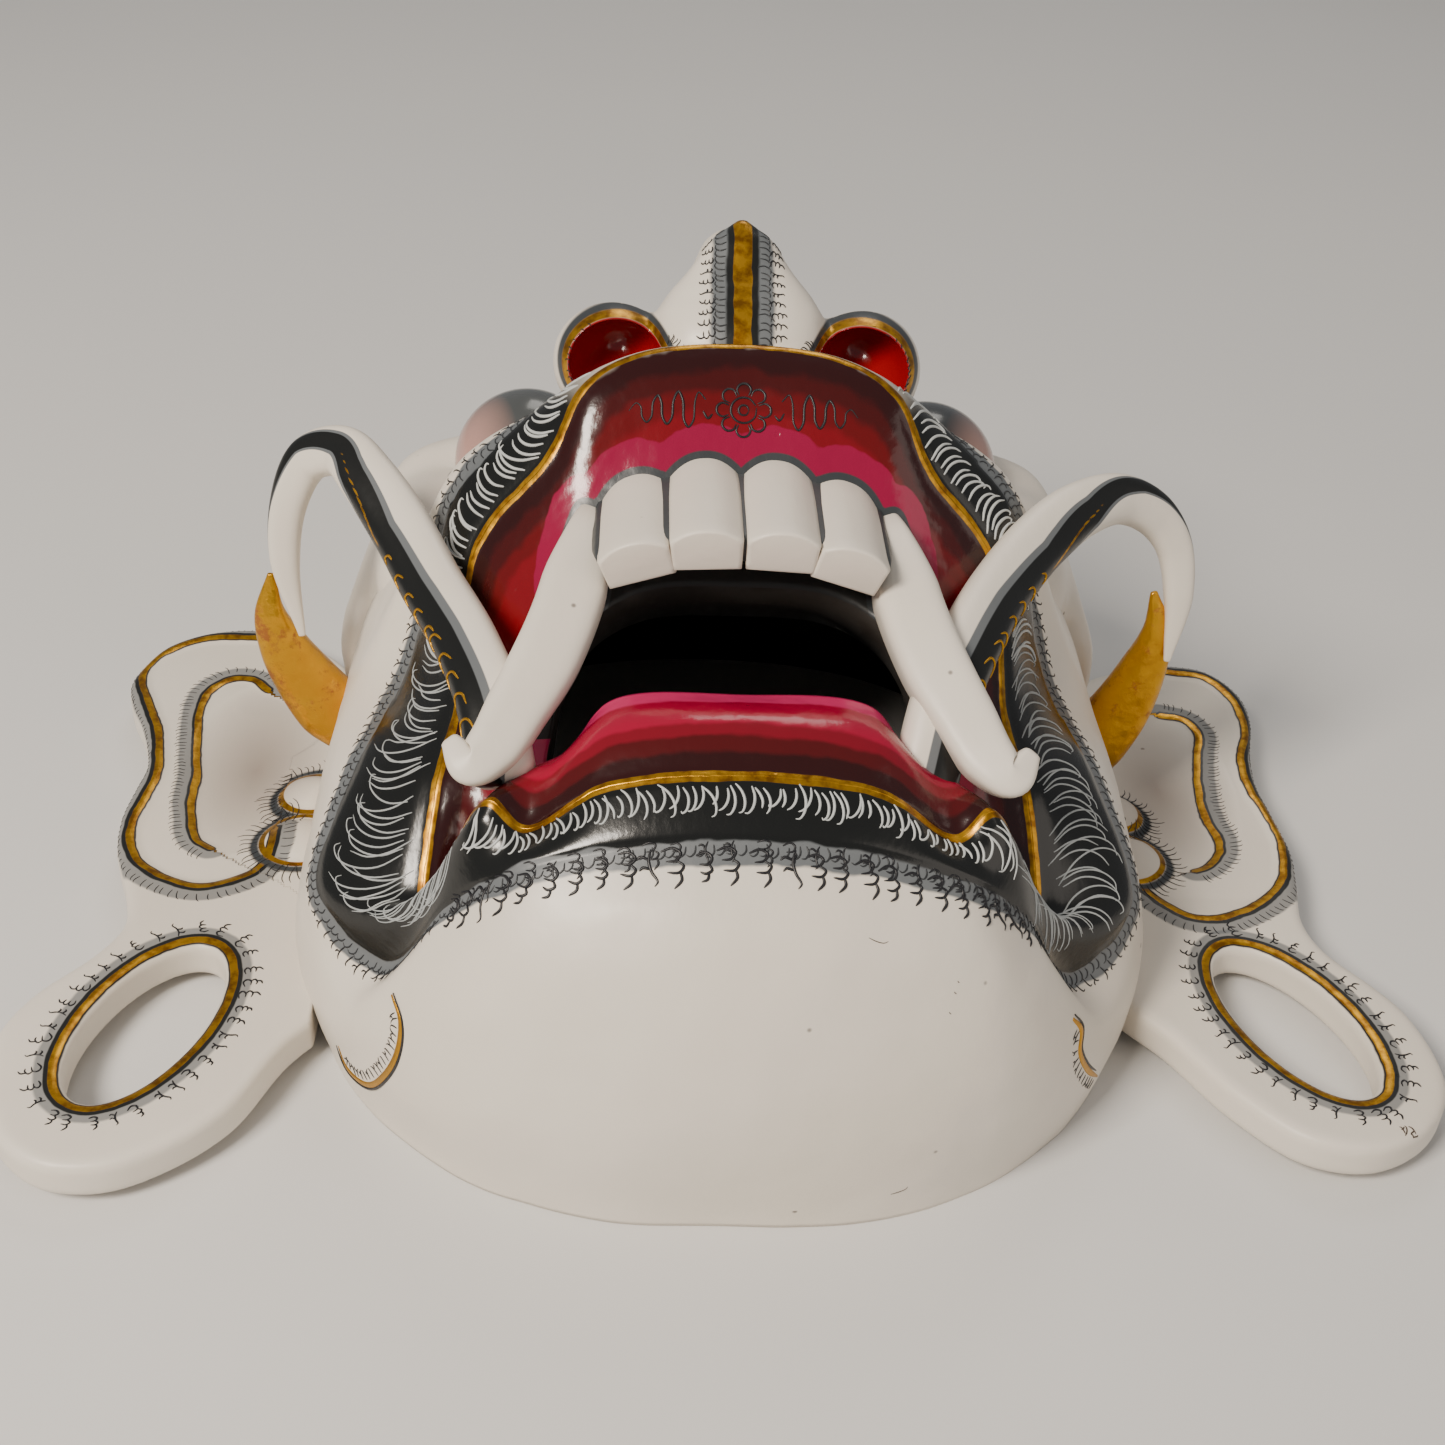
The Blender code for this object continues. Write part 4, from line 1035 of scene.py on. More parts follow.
def ear(side, name):
    """A flat ear with rolled edges, a pierced lobe, a scooped bowl and shallow carved contours."""
    outline = np.array(EAR_OUTLINES[side], float) * (side, 1)
    edge = through(np.concatenate([outline[-1:], outline, outline[:2]]), 8)[:-1]
    hole = lobe_ellipse(side, LOBE_HOLE)
    curve = bpy.data.curves.new(name, "CURVE")
    curve.dimensions = "2D"
    curve.fill_mode = "BOTH"
    curve.extrude = (EAR_THICKNESS / 2 - EAR_ROUNDING) / 1000
    curve.bevel_depth = EAR_ROUNDING / 1000
    curve.bevel_resolution = 4
    curve.offset = -EAR_ROUNDING / 1000
    for line in (edge, hole):
        spline = curve.splines.new("POLY")
        spline.points.add(len(line) - 1)
        spline.use_cyclic_u = True
        for target, (x, y) in zip(spline.points, line):
            target.co = (x / 1000, y / 1000, 0, 1)
    drawn = in_scene(name, curve)
    bpy.context.view_layer.update()
    mesh = bpy.data.meshes.new_from_object(drawn.evaluated_get(bpy.context.evaluated_depsgraph_get()))
    bpy.data.objects.remove(drawn)
    plate = in_scene(name, mesh)
    builder = bmesh.new()
    builder.from_mesh(mesh)
    bmesh.ops.remove_doubles(builder, verts=builder.verts, dist=1e-5)
    bmesh.ops.recalc_face_normals(builder, faces=builder.faces)
    builder.to_mesh(mesh)
    builder.free()
    middle = EAR_CLEAR_OF_TABLE + EAR_THICKNESS / 2
    move_points(plate, placed(points_of(plate) * 1000 + (0, 0, middle)))
    lobes = [ball("tragus", (side * x, y, 11.0), (reach, reach, 6.0)) for x, y, reach in TRAGUS_LOBES]
    plate = one_skin(merge([plate] + lobes, name), 0.95, 3)
    places = carved(points_of(plate))
    flat = places[:, :2]
    contour, contour_side = nearest_on_line(flat, ear_line(EAR_CONTOURS, side))
    scroll, scroll_side = nearest_on_line(flat, ear_line(EAR_SCROLLS, side))
    loop, _ = nearest_on_line(flat, lobe_ellipse(side, LOBE_RING), closed=True)
    outside = np.where(contour_side * side > 0, 1, -1)
    beyond = np.where(scroll_side * side > 0, 1, -1)
    lobe_x, lobe_y, lean = LOBES[side]
    lean = math.radians(lean)
    local = flat - np.array([side * lobe_x, lobe_y])
    along = local[:, 0] * side * math.sin(lean) - local[:, 1] * math.cos(lean)
    across = local[:, 0] * side * math.cos(lean) + local[:, 1] * math.sin(lean)
    beyond_ring = (along * 2 / LOBE_RING[0]) ** 2 + (across * 2 / LOBE_RING[1]) ** 2 > 1
    around = np.where(beyond_ring, 1, -1)
    top = np.clip((places[:, 2] - middle) / 2, 0, 1)
    above_lobe = np.clip((flat[:, 1] + 32) / 10, 0, 1)
    inside_contour = np.clip(-contour * outside / 3, 0, 1) * above_lobe
    bowl = np.clip(1 - np.linalg.norm((flat - (side * 138, 34)) / (22, 44), axis=1), 0, 1) ** 0.7
    step = np.clip(-scroll * beyond / 2.5, 0, 1) * np.clip(1 - scroll / 14, 0, 1)
    to_tragus = [(np.linalg.norm(flat - (side * x, y), axis=1), reach) for x, y, reach in TRAGUS_LOBES]
    near_tragus = np.clip(1 - np.min([far / (reach * 1.3) for far, reach in to_tragus], axis=0), 0, 1)
    sink = (inside_contour * 1.1 + bowl * 3.4 + step * 0.8) * np.clip(1 - near_tragus * 3, 0, 1)
    places[:, 2] -= sink * top
    places[:, 0] = side * np.maximum(places[:, 0] * side, EAR_SEAM)
    move_points(plate, placed(places))
    tragus = np.min([far - reach for far, reach in to_tragus], axis=0)
    shows = np.clip((normals_of(plate)[:, 2] - 0.2) / 0.3, 0, 1)
    note(plate, "outer", np.stack([contour * outside, scroll * beyond, loop * around], axis=1))
    # The bowl's share, last of these values, tells the paint where to lay painted shade in the bowl
    note(plate, "more", np.stack([shows, tragus, bowl * top], axis=1))
    return plate


left_ear = ear(-1, "left_ear_plate")
right_ear = ear(1, "right_ear_plate")


# Brush marks, laid by Geometry Nodes
def arc(centre, radius, start, end, count):
    """Part of a circle, drawn as one brush line."""
    x, y = centre
    turns = np.linspace(start, end, count)
    return [(x + radius * math.cos(turn), y + radius * math.sin(turn)) for turn in turns]


# One side of the ornament on the upper lip: a winding tendril, and the leaf where it starts
LIP_TENDRILS = [
    [(0.16, 0.03), (0.19, 0.06), (0.205, 0.02), (0.21, -0.06), (0.23, -0.09), (0.25, -0.06), (0.255, 0.02),
     (0.275, 0.06), (0.295, 0.02), (0.30, -0.05), (0.32, -0.08), (0.34, -0.05), (0.345, 0.01), (0.36, 0.04),
     (0.38, 0.01), (0.385, -0.05), (0.405, -0.075), (0.425, -0.05), (0.43, -0.01), (0.45, 0.005),
     (0.48, -0.03)],
    [(0.17, -0.02), (0.15, -0.05), (0.13, -0.03)],
]
# Each mark is drawn in a square one unit wide: X runs along the line it sits on, Y away from that line
MARKS = {
    "hair_strokes": [
        [[(0.12, -0.52), (-0.03, -0.25), (-0.08, 0.05), (-0.01, 0.33), (0.12, 0.48)]],
        [[(0.02, -0.46), (-0.10, -0.15), (-0.08, 0.15), (0.05, 0.40), (0.20, 0.46), (0.22, 0.38)]],
        [[(0.16, -0.50), (0.02, -0.20), (-0.02, 0.10), (0.06, 0.34)]],
        [[(0.08, -0.55), (-0.08, -0.22), (-0.12, 0.10), (-0.06, 0.36), (0.06, 0.52), (0.18, 0.53)]],
    ],
    "curls": [
        [[(0.40, -0.42), (0.10, -0.50), (-0.10, -0.36), (0.02, -0.18), (0.28, -0.16)],
         [(0.02, -0.18), (-0.16, -0.02), (-0.04, 0.14), (0.26, 0.12)],
         [(-0.06, 0.10), (-0.10, 0.34), (0.10, 0.56)]],
        [[(0.44, -0.30), (0.14, -0.44), (-0.06, -0.30), (0.00, -0.08), (0.30, -0.04)],
         [(0.00, -0.08), (-0.12, 0.10), (0.06, 0.24), (0.24, 0.20)],
         [(-0.04, 0.18), (-0.02, 0.42), (0.16, 0.52)]],
        [[(-0.06, -0.50), (0.04, -0.20), (0.00, 0.12), (-0.12, 0.40), (-0.02, 0.52)],
         [(0.04, -0.24), (0.24, -0.34), (0.36, -0.26)],
         [(0.02, 0.04), (0.22, -0.04), (0.32, 0.04)]],
    ],
    "ticks": [
        [[(0.02, -0.55), (0.04, -0.10), (-0.06, 0.25), (-0.24, 0.42)],
         [(0.04, 0.02), (0.22, 0.14), (0.26, 0.34)]],
        [[(-0.04, -0.50), (-0.02, 0.00), (0.06, 0.30), (0.24, 0.46)],
         [(-0.02, -0.04), (-0.20, 0.10), (-0.22, 0.26)]],
        [[(0.00, -0.50), (-0.02, 0.05), (-0.10, 0.32), (-0.26, 0.36)]],
    ],
    "lashes": [
        [[(0.02, -0.50), (0.00, -0.05), (-0.10, 0.30), (-0.28, 0.46)]],
        [[(-0.02, -0.50), (0.00, 0.00), (-0.06, 0.34), (-0.20, 0.54)]],
        [[(0.00, -0.45), (0.04, 0.00), (0.00, 0.30), (-0.14, 0.42)]],
    ],
    "scales": [
        [[(-0.40, -0.45), (-0.46, 0.05), (-0.16, 0.40), (0.14, 0.36)]],
        [[(-0.44, -0.40), (-0.40, 0.12), (-0.10, 0.42), (0.20, 0.30)]],
    ],
    "lip_ornament": [
        [arc((0.0, -0.01), 0.055, 0.4, 6.5, 9), arc((0.0, -0.01), 0.022, 0.0, 6.2, 7)]
        + [arc((0.085 * math.cos(turn), 0.085 * math.sin(turn) - 0.01), 0.030, turn - 2.4, turn + 2.4, 6)
           for turn in np.linspace(0.0, math.tau, 8, endpoint=False)]
        + [[(side * x, y) for x, y in line] for side in (-1, 1) for line in LIP_TENDRILS],
    ],
    "gold_curls": [
        [[(0.44, -0.26), (0.20, 0.28), (-0.20, 0.30), (-0.46, -0.22)]],
        [[(0.40, -0.30), (0.26, 0.22), (-0.14, 0.34), (-0.44, -0.12)]],
    ],
}


def mark_collection(name):
    """The marks of one kind, as lines for the brush tree to pick from."""
    shelf = bpy.data.collections.new(name)
    for number, lines in enumerate(MARKS[name]):
        places, edges = [], []
        for line in lines:
            drawn = open_curve(np.array([(x, y, 0.0) for x, y in line]), 4)
            first = len(places)
            places += drawn.tolist()
            edges += [(first + k, first + k + 1) for k in range(len(drawn) - 1)]
        mesh = bpy.data.meshes.new(f"{name}_{number}")
        mesh.from_pydata(places, edges, [])
        shelf.objects.link(bpy.data.objects.new(mesh.name, mesh))
    return shelf


def brush_tree():
    """Lays a mark at every guide point, turned to its line, pressed onto the surface and fattened."""
    tree = bpy.data.node_groups.new("brush_marks", "GeometryNodeTree")
    for name, kind in (
        ("Guides", "Geometry"), ("Marks", "Collection"), ("Surface", "Object"),
        ("Stroke radius", "Float"), ("Wander", "Float"), ("Size spread", "Float"),
        ("Seed", "Int"), ("Paint", "Material"),
    ):
        tree.interface.new_socket(name, in_out="INPUT", socket_type="NodeSocket" + kind)
    tree.interface.new_socket("Painted", in_out="OUTPUT", socket_type="NodeSocketGeometry")
    given = tree.nodes.new("NodeGroupInput").outputs
    fact = {name: add(tree, "GeometryNodeInputNamedAttribute", name, data_type=kind)
            for name, kind in (("across", "FLOAT_VECTOR"), ("up", "FLOAT_VECTOR"), ("reach", "FLOAT"))}
    shelf = add(tree, "GeometryNodeCollectionInfo", given["Marks"], True, True)
    turn = add(tree, "FunctionNodeAxesToRotation", fact["up"], fact["across"], primary_axis="Z",
               secondary_axis="Y")
    pick = add(tree, "FunctionNodeRandomValue", sockets={4: 0, 5: 50, 8: given["Seed"]}, data_type="INT",
               out=2)
    spread = add(tree, "ShaderNodeMath", 1.0, given["Size spread"], operation="SUBTRACT")
    most = add(tree, "ShaderNodeMath", 1.0, given["Size spread"], operation="ADD")
    grow = add(tree, "FunctionNodeRandomValue", sockets={2: spread, 3: most, 8: given["Seed"]}, out=1)
    size = add(tree, "ShaderNodeMath", fact["reach"], grow, operation="MULTIPLY")
    laid = add(tree, "GeometryNodeInstanceOnPoints", given["Guides"],
               sockets={"Instance": shelf, "Pick Instance": True, "Instance Index": pick, "Rotation": turn,
                        "Scale": size})
    least = add(tree, "ShaderNodeMath", given["Wander"], -1.0, operation="MULTIPLY")
    yaw = add(tree, "FunctionNodeRandomValue", sockets={2: least, 3: given["Wander"], 8: given["Seed"]},
              out=1)
    spin = add(tree, "FunctionNodeAxisAngleToRotation", (0, 0, 1), yaw)
    turned = add(tree, "GeometryNodeRotateInstances", laid, sockets={"Rotation": spin})
    marks = add(tree, "GeometryNodeRealizeInstances", turned)
    skin = add(tree, "GeometryNodeObjectInfo", given["Surface"], out=4)
    pressed = add(tree, "GeometryNodeProximity", skin, target_element="FACES")
    marks = add(tree, "GeometryNodeSetPosition", marks, sockets={"Position": pressed})
    line = add(tree, "GeometryNodeMeshToCurve", marks)
    part = add(tree, "GeometryNodeSplineParameter")
    rest = add(tree, "ShaderNodeMath", 1.02, part, operation="SUBTRACT")
    swell = add(tree, "ShaderNodeMath", add(tree, "ShaderNodeMath", part, 0.06, operation="ADD"), rest,
                operation="MULTIPLY")
    swell = add(tree, "ShaderNodeMath", swell, 0.45, operation="POWER")
    radius = add(tree, "ShaderNodeMath", swell, given["Stroke radius"], operation="MULTIPLY")
    radius = add(tree, "ShaderNodeMath", radius, 1.8, operation="MULTIPLY")
    line = add(tree, "GeometryNodeSetCurveRadius", line, sockets={"Radius": radius})
    ring = add(tree, "GeometryNodeCurvePrimitiveCircle", 5, sockets={"Radius": 1.0})
    body = add(tree, "GeometryNodeCurveToMesh", line, ring, radius, True)
    smooth = add(tree, "GeometryNodeSetShadeSmooth", body)
    whole = add(tree, "GeometryNodeRealizeInstances", smooth)
    painted = add(tree, "GeometryNodeSetMaterial", whole, sockets={"Material": given["Paint"]})
    end = tree.nodes.new("NodeGroupOutput")
    tree.links.new(painted, end.inputs[0])
    return tree


BRUSH = brush_tree()
SHELVES = {name: mark_collection(name) for name in MARKS}


def brushed(name, guides, marks, surface, radius, paint, slot, wander=12, spread=0.12, seed=1):
    """Lays brush marks on a surface. Guides are places, ways across, ways up and sizes, in millimetres."""
    places, across, up, reach = (np.asarray(item, float) for item in guides)
    mesh = bpy.data.meshes.new(name)
    mesh.from_pydata(placed(places).tolist(), [], [])
    piece = in_scene(name, mesh)
    note(piece, "across", across)
    note(piece, "up", up)
    note(piece, "reach", reach / 1000)
    step = piece.modifiers.new("brush marks", "NODES")
    step.node_group = BRUSH
    given = {
        "Marks": SHELVES[marks], "Surface": surface, "Stroke radius": radius / 1000,
        "Wander": math.radians(wander), "Size spread": spread, "Seed": seed, "Paint": paint,
    }
    for item in BRUSH.interface.items_tree:
        if item.name in given:
            step[item.identifier] = given[item.name]
    applied(piece)
    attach(piece, "root")


face_normals = grid_normals(face_rows)


def on_face(grid, row, column):
    """A value of the face's grid between its rows and columns."""
    column = column % grid.shape[1]
    row = min(max(row, 0), len(grid) - 1.001)
    r, c = int(row), int(column)
    fr, fc = row - r, column - c
    right = (c + 1) % grid.shape[1]
    near = grid[r, c] * (1 - fc) + grid[r, right] * fc
    far = grid[r + 1, c] * (1 - fc) + grid[r + 1, right] * fc
    return near * (1 - fr) + far * fr


def spaced_columns(row, pitch, first, last, jitter, rng):
    """Columns a set distance apart along a row, from one column to another."""
    ring = face_rows[int(round(row))]
    columns = np.arange(first, last + 1)
    steps = np.linalg.norm(np.diff(ring[columns % len(ring)], axis=0), axis=1)
    far = np.concatenate([[0], np.cumsum(steps)])
    stops = np.arange(pitch / 2, far[-1], pitch)
    stops = stops + rng.uniform(-jitter, jitter, len(stops)) * pitch
    return np.interp(stops, far, columns)


def band_guides(first, last, pitch, start, end, rng, slant=0.0):
    """Guides for strokes that cross the hair band, from one share of its width to another."""
    low = at_ring[GOLD_BORDER]
    middle = (low + at_ring[BAND_EDGE]) / 2
    guides = []
    for column in spaced_columns(middle, pitch, first, last, 0.18, rng):
        high = np.interp(0.0, from_edge[:, int(round(column)) % whole], np.arange(len(from_edge)))
        a, b = (low + (high - low) * (share + rng.uniform(-0.05, 0.05)) for share in (start, end))
        near, far = on_face(face_rows, a, column - slant), on_face(face_rows, b, column + slant)
        up = on_face(face_normals, (a + b) / 2, column)
        guides.append(((near + far) / 2, far - near, up, np.linalg.norm(far - near)))
    return list(zip(*guides))


def fringe_guides(first, last, pitch, offset, size, rng):
    """Guides for marks that stand a set distance outside the hair band."""
    edge = at_ring[BAND_EDGE]
    guides = []
    for column in spaced_columns(edge + 3, pitch, first, last, 0.12, rng):
        here = int(round(column)) % face_rows.shape[1]
        row = np.interp(offset + rng.uniform(-0.3, 0.3), from_edge[:, here], np.arange(len(from_edge)))
        place = on_face(face_rows, row, column)
        outward = on_face(face_rows, row + 1.5, column) - on_face(face_rows, row - 1.5, column)
        guides.append((place, outward, on_face(face_normals, row, column), size * rng.uniform(0.9, 1.1)))
    return list(zip(*guides))


def line_guides(line, offset, pitch, size, side, rng, closed=False, height=14.0):
    """Guides beside a line drawn on an ear, to the left of its run for side 1, to the right for -1."""
    line = np.asarray(line, float)
    if closed:
        line = np.concatenate([line, line[:1]])
    run_along = lengths(line)
    guides = []
    for stop in np.arange(pitch * 0.3, run_along[-1], pitch):
        stop = stop + rng.uniform(-0.15, 0.15) * pitch
        x, y = (np.interp(stop, run_along, line[:, axis]) for axis in (0, 1))
        x_on, y_on = (np.interp(stop + 0.5, run_along, line[:, axis]) for axis in (0, 1))
        x_back, y_back = (np.interp(stop - 0.5, run_along, line[:, axis]) for axis in (0, 1))
        across = np.array([y_back - y_on, x_on - x_back, 0.0]) * side
        across /= np.linalg.norm(across) + 1e-9
        guides.append((np.array([x, y, height]) + across * offset, across, FACE_FRONT,
                       size * rng.uniform(0.85, 1.15)))
    return list(zip(*guides))


# Thinned tempera strokes, matt to silky, each with a drift in tone from a brush that runs dry
grey_stroke = plain("ash_grey_brush_paint", "#8f9496", 0.35, 200.0, 0.1, second="#b4b8b8")
white_stroke = plain("ash_white_brush_paint", "#a9adad", 0.35, 200.0, 0.1, second="#c9cccb")
black_stroke = plain("soot_black_brush_paint", "#15151a", 0.4, 200.0, 0.1)
grime_stroke = plain("umber_grime_in_scratches", "#4a3f36", 0.7, 200.0, 0.2)
charcoal_stroke = plain("charcoal_brush_paint", "#26282b", 0.4, 200.0, 0.1)
# Bronze powder paint: metal that shines softly and darkens where it is thin
gold_stroke = plain("gold_brush_paint", "#c9941f", 0.35, 300.0, 0.2, metallic=0.8, second="#a97a1c")

rng = np.random.default_rng(7)
whole = face_rows.shape[1]
# Strokes across the band: name, spokes from and to, pitch, shares of the band's width from and to,
# slant, stroke radius, paint, wander in degrees, seed
BAND_HAIRS = (
    ("eye_hairs", 1.9, 4.8, 2.1, 0.20, 0.84, 0.6, 0.42, white_stroke, 9, 3),
    ("pouch_hairs", 4.8, 7.3, 1.9, 0.22, 0.78, 0.6, 0.27, grey_stroke, 14, 4),
    ("pouch_corner_hairs", 7.3, 8.5, 1.5, 0.16, 0.66, 0.0, 0.20, grey_stroke, 7, 5),
    ("chin_hairs", 8.9, 12.0, 1.8, 0.16, 0.60, 0.0, 0.34, white_stroke, 24, 8),
)
# Marks outside the band: name, kind, spokes from and to, pitch, distance from the band, size,
# stroke radius, paint, wander in degrees, seed
FRINGE_MARKS = (
    ("cheek_ticks", "ticks", 2.0, 8.9, 3.3, 5.6, 4.2, 0.24, black_stroke, 10, 11),
    ("chin_curls", "curls", 9.0, 12.0, 5.8, 5.8, 8.0, 0.38, black_stroke, 10, 14),
    ("chin_inner_curls", "curls", 9.0, 12.0, 5.8, 2.6, 5.4, 0.28, black_stroke, 12, 17),
    ("fringe_scales", "scales", 2.0, 12.0, 2.3, 2.2, 3.2, 0.22, charcoal_stroke, 14, 19),
)


def columns_between(first, last, flip):
    """Columns of the face from one spoke to another, on the right for flip 1, on the left for -1."""
    ends = [number * COLUMNS_PER_SPOKE for number in (first, last)]
    if flip < 0:
        ends = [whole - end for end in reversed(ends)]
    return [int(end) for end in ends]


for side_name, flip in (("right", 1), ("left", -1)):
    for name, first, last, pitch, start, end, slant, radius, paint, wander, seed in BAND_HAIRS:
        guides = band_guides(*columns_between(first, last, flip), pitch, start, end, rng, slant * flip)
        brushed(f"{side_name}_{name}", guides, "hair_strokes", carved_face, radius, paint,
                "painted_face", wander=wander, seed=seed + flip)
    for name, kind, first, last, pitch, offset, size, radius, paint, wander, seed in FRINGE_MARKS:
        guides = fringe_guides(*columns_between(first, last, flip), pitch, offset, size, rng)
        brushed(f"{side_name}_{name}", guides, kind, carved_face, radius, paint,
                "painted_face", wander=wander, seed=seed + flip)

brushed("upper_lip_ornament", ([(0.4, 1.4, 150.5)], [(0, 0.70, 0.71)], [(0, -0.71, 0.70)], [60.0]),
        "lip_ornament", carved_face,
        0.34, black_stroke, "painted_face", wander=0, spread=0.0)


def nose_guides(side, offset, pitch, size):
    """Guides down the nose, a set distance beside its gilt stripe."""
    surface = bvh_of(carved_nose)
    line = open_curve([(0, 46, 180), (0, 41, 172), (0, 34, 164), (0, 26, 156), (0, 18, 150)], 6)
    run_along = lengths(line)
    guides = []
    for stop in np.arange(pitch * 0.6, run_along[-1], pitch):
        _, y, z = (np.interp(stop + rng.uniform(-0.3, 0.3), run_along, line[:, axis]) for axis in range(3))
        start = np.array([[side * offset, y, z]]) + NOSE_UNDERSIDE * 30
        hit, normal = surface.ray_cast(Vector(placed(start)[0]), Vector(-NOSE_UNDERSIDE))[:2]
        if hit:
            guides.append((carved([hit])[0], (side, 0, 0), tuple(normal), size * rng.uniform(0.9, 1.1)))
    return list(zip(*guides))


def nostril_guides(side, pitch, reach, size):
    """Guides round the rim of a nostril."""
    surface = bvh_of(carved_nose)
    guides = []
    for turn in np.arange(0, math.tau, pitch / 12.0):
        outward = np.array([math.cos(turn), 0.0, math.sin(turn)])
        rim = outward * (NOSTRIL_RADII[0] + reach, 0, NOSTRIL_RADII[2] + reach)
        start = NOSTRIL * (side, 1, 1) + rim + (0, -4, 0)
        hit, normal, _, gap = surface.find_nearest(Vector(placed([start])[0]))
        if gap < 0.016:
            guides.append((carved([hit])[0], outward, tuple(normal), size * rng.uniform(0.85, 1.15)))
    return list(zip(*guides))


for side, side_name in ((-1, "left"), (1, "right")):
    brushed(f"{side_name}_nose_scales", nose_guides(side, 5.8, 1.9, 3.4), "scales", carved_nose,
            0.22, charcoal_stroke, "painted_face", seed=30)
    brushed(f"{side_name}_nose_curls", nose_guides(side, 9.2, 3.2, 4.0), "curls", carved_nose,
            0.24, black_stroke, "painted_face", seed=31)
    brushed(f"{side_name}_nostril_ticks", nostril_guides(side, 1.7, 3.6, 2.6), "lashes", carved_nose,
            0.18, black_stroke, "painted_face", seed=32)

JAW_SCROLLS = {
    -1: [(-81.1, -101.2, 44.7), (-78.8, -106, 41.2), (-79.4, -107.9, 33.3), (-83.4, -105, 21.9),
         (-88.3, -98.6, 12.9),
         (-94.2, -91.2, 11.2), (-96.7, -89, 15.9)],
    1: [(82.5, -101.5, 41), (85.6, -99.6, 35.5), (85.6, -101.1, 30.2), (89.3, -98.1, 21),
        (95, -90.2, 10.7)],
}
for side, side_name in ((-1, "left"), (1, "right")):
    surface = bvh_of(carved_face)
    found = [surface.find_nearest(Vector(place))[:2] for place in placed(open_curve(JAW_SCROLLS[side], 4))]
    path = np.array([carved([hit])[0] for hit, _ in found])
    facing = np.mean([tuple(normal) for _, normal in found], axis=0)
    along = np.linspace(0, 1, len(path))
    swell = np.interp(along, (0, 0.25, 0.8, 1.0), (0.9, 1.9, 1.8, 0.5))
    gold_scroll = sweep(f"{side_name}_jaw_scroll", path, swell, swell * 0.3, facing, 1.0, 10, 2, 2)[0]
    heading = np.gradient(path, axis=0)
    heading /= np.linalg.norm(heading, axis=1, keepdims=True)
    inner = path + np.cross(facing, heading) * 1.2
    edge_name = f"{side_name}_jaw_scroll_edge"
    edge_line = sweep(edge_name, inner, swell * 0.45, swell * 0.25, facing, 1.0, 10, 2, 2)[0]
    for piece, paint in ((gold_scroll, gold_stroke), (edge_line, black_stroke)):
        piece.data.materials.append(paint)
        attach(piece, "root")
    across = np.cross(heading, facing)
    across /= np.linalg.norm(across, axis=1, keepdims=True)
    run_along = lengths(path)
    stops = np.arange(4.0, run_along[-1] - 2, 2.4)
    spots, ways = (np.stack([np.interp(stops, run_along, values[:, axis]) for axis in range(3)], axis=1)
                   for values in (path, across))
    guides = (spots + ways * 2.8, ways, [tuple(facing)] * len(stops), [3.2] * len(stops))
    brushed(f"{side_name}_jaw_ticks", guides, "ticks", carved_face, 0.2, black_stroke, "painted_face",
            seed=33)

# Wear: a scratch and specks on the chin, a fine crack near the rim, and grime on the right lobe
down_chin = (0.0, -0.95, 0.3)
wear = ([(30, -117.6, 78.6), (40.8, -129.4, 10.0), (48.7, -119.7, 65.6), (47.5, -121, 61),
         (49.5, -118.8, 68)],
        [(0.85, -0.1, -0.5), (1.0, 0.2, 0.2), (0.4, -0.8, -0.4), (0.4, -0.8, -0.4), (0.4, -0.8, -0.4)],
        [down_chin] * 5, [4.4, 5.2, 0.8, 0.7, 0.6])
brushed("chin_wear", wear, "lashes", carved_face, 0.13, grime_stroke, "painted_face", wander=5, seed=40)
spots = np.stack([169.7 + rng.uniform(-3.5, 3.5, 9), -111.7 + rng.uniform(-1.6, 1.6, 9), np.full(9, 14.0)],
                 axis=1)
grime = (spots, [(0.3, 1.0, 0.0)] * 9, [(0.2, -0.2, 0.95)] * 9, rng.uniform(1.2, 3.0, 9))
brushed("lobe_grime", grime, "lashes", right_ear, 0.22, grime_stroke, "painted_ear", wander=60, seed=41)

for side, side_name in ((-1, "left"), (1, "right")):
    places, facts = carved(points_of(tusks[side])), tusk_facts[side]
    ways_up = normals_of(tusks[side])
    spots = []
    for share in np.arange(0.05, 0.42, 0.040):
        near = np.nonzero(np.abs(facts[:, 0] - share) < 0.012)[0]
        spots.append(near[np.argmin(np.abs(facts[near, 1]))])
    ahead = np.gradient(places[spots], axis=0)
    guides = (places[spots], ahead, ways_up[spots], np.linspace(7.0, 3.6, len(spots)))
    brushed(f"{side_name}_tusk_gold_curls", guides, "gold_curls", tusks[side],
            0.36, gold_stroke, "painted_face", wander=8, seed=34)

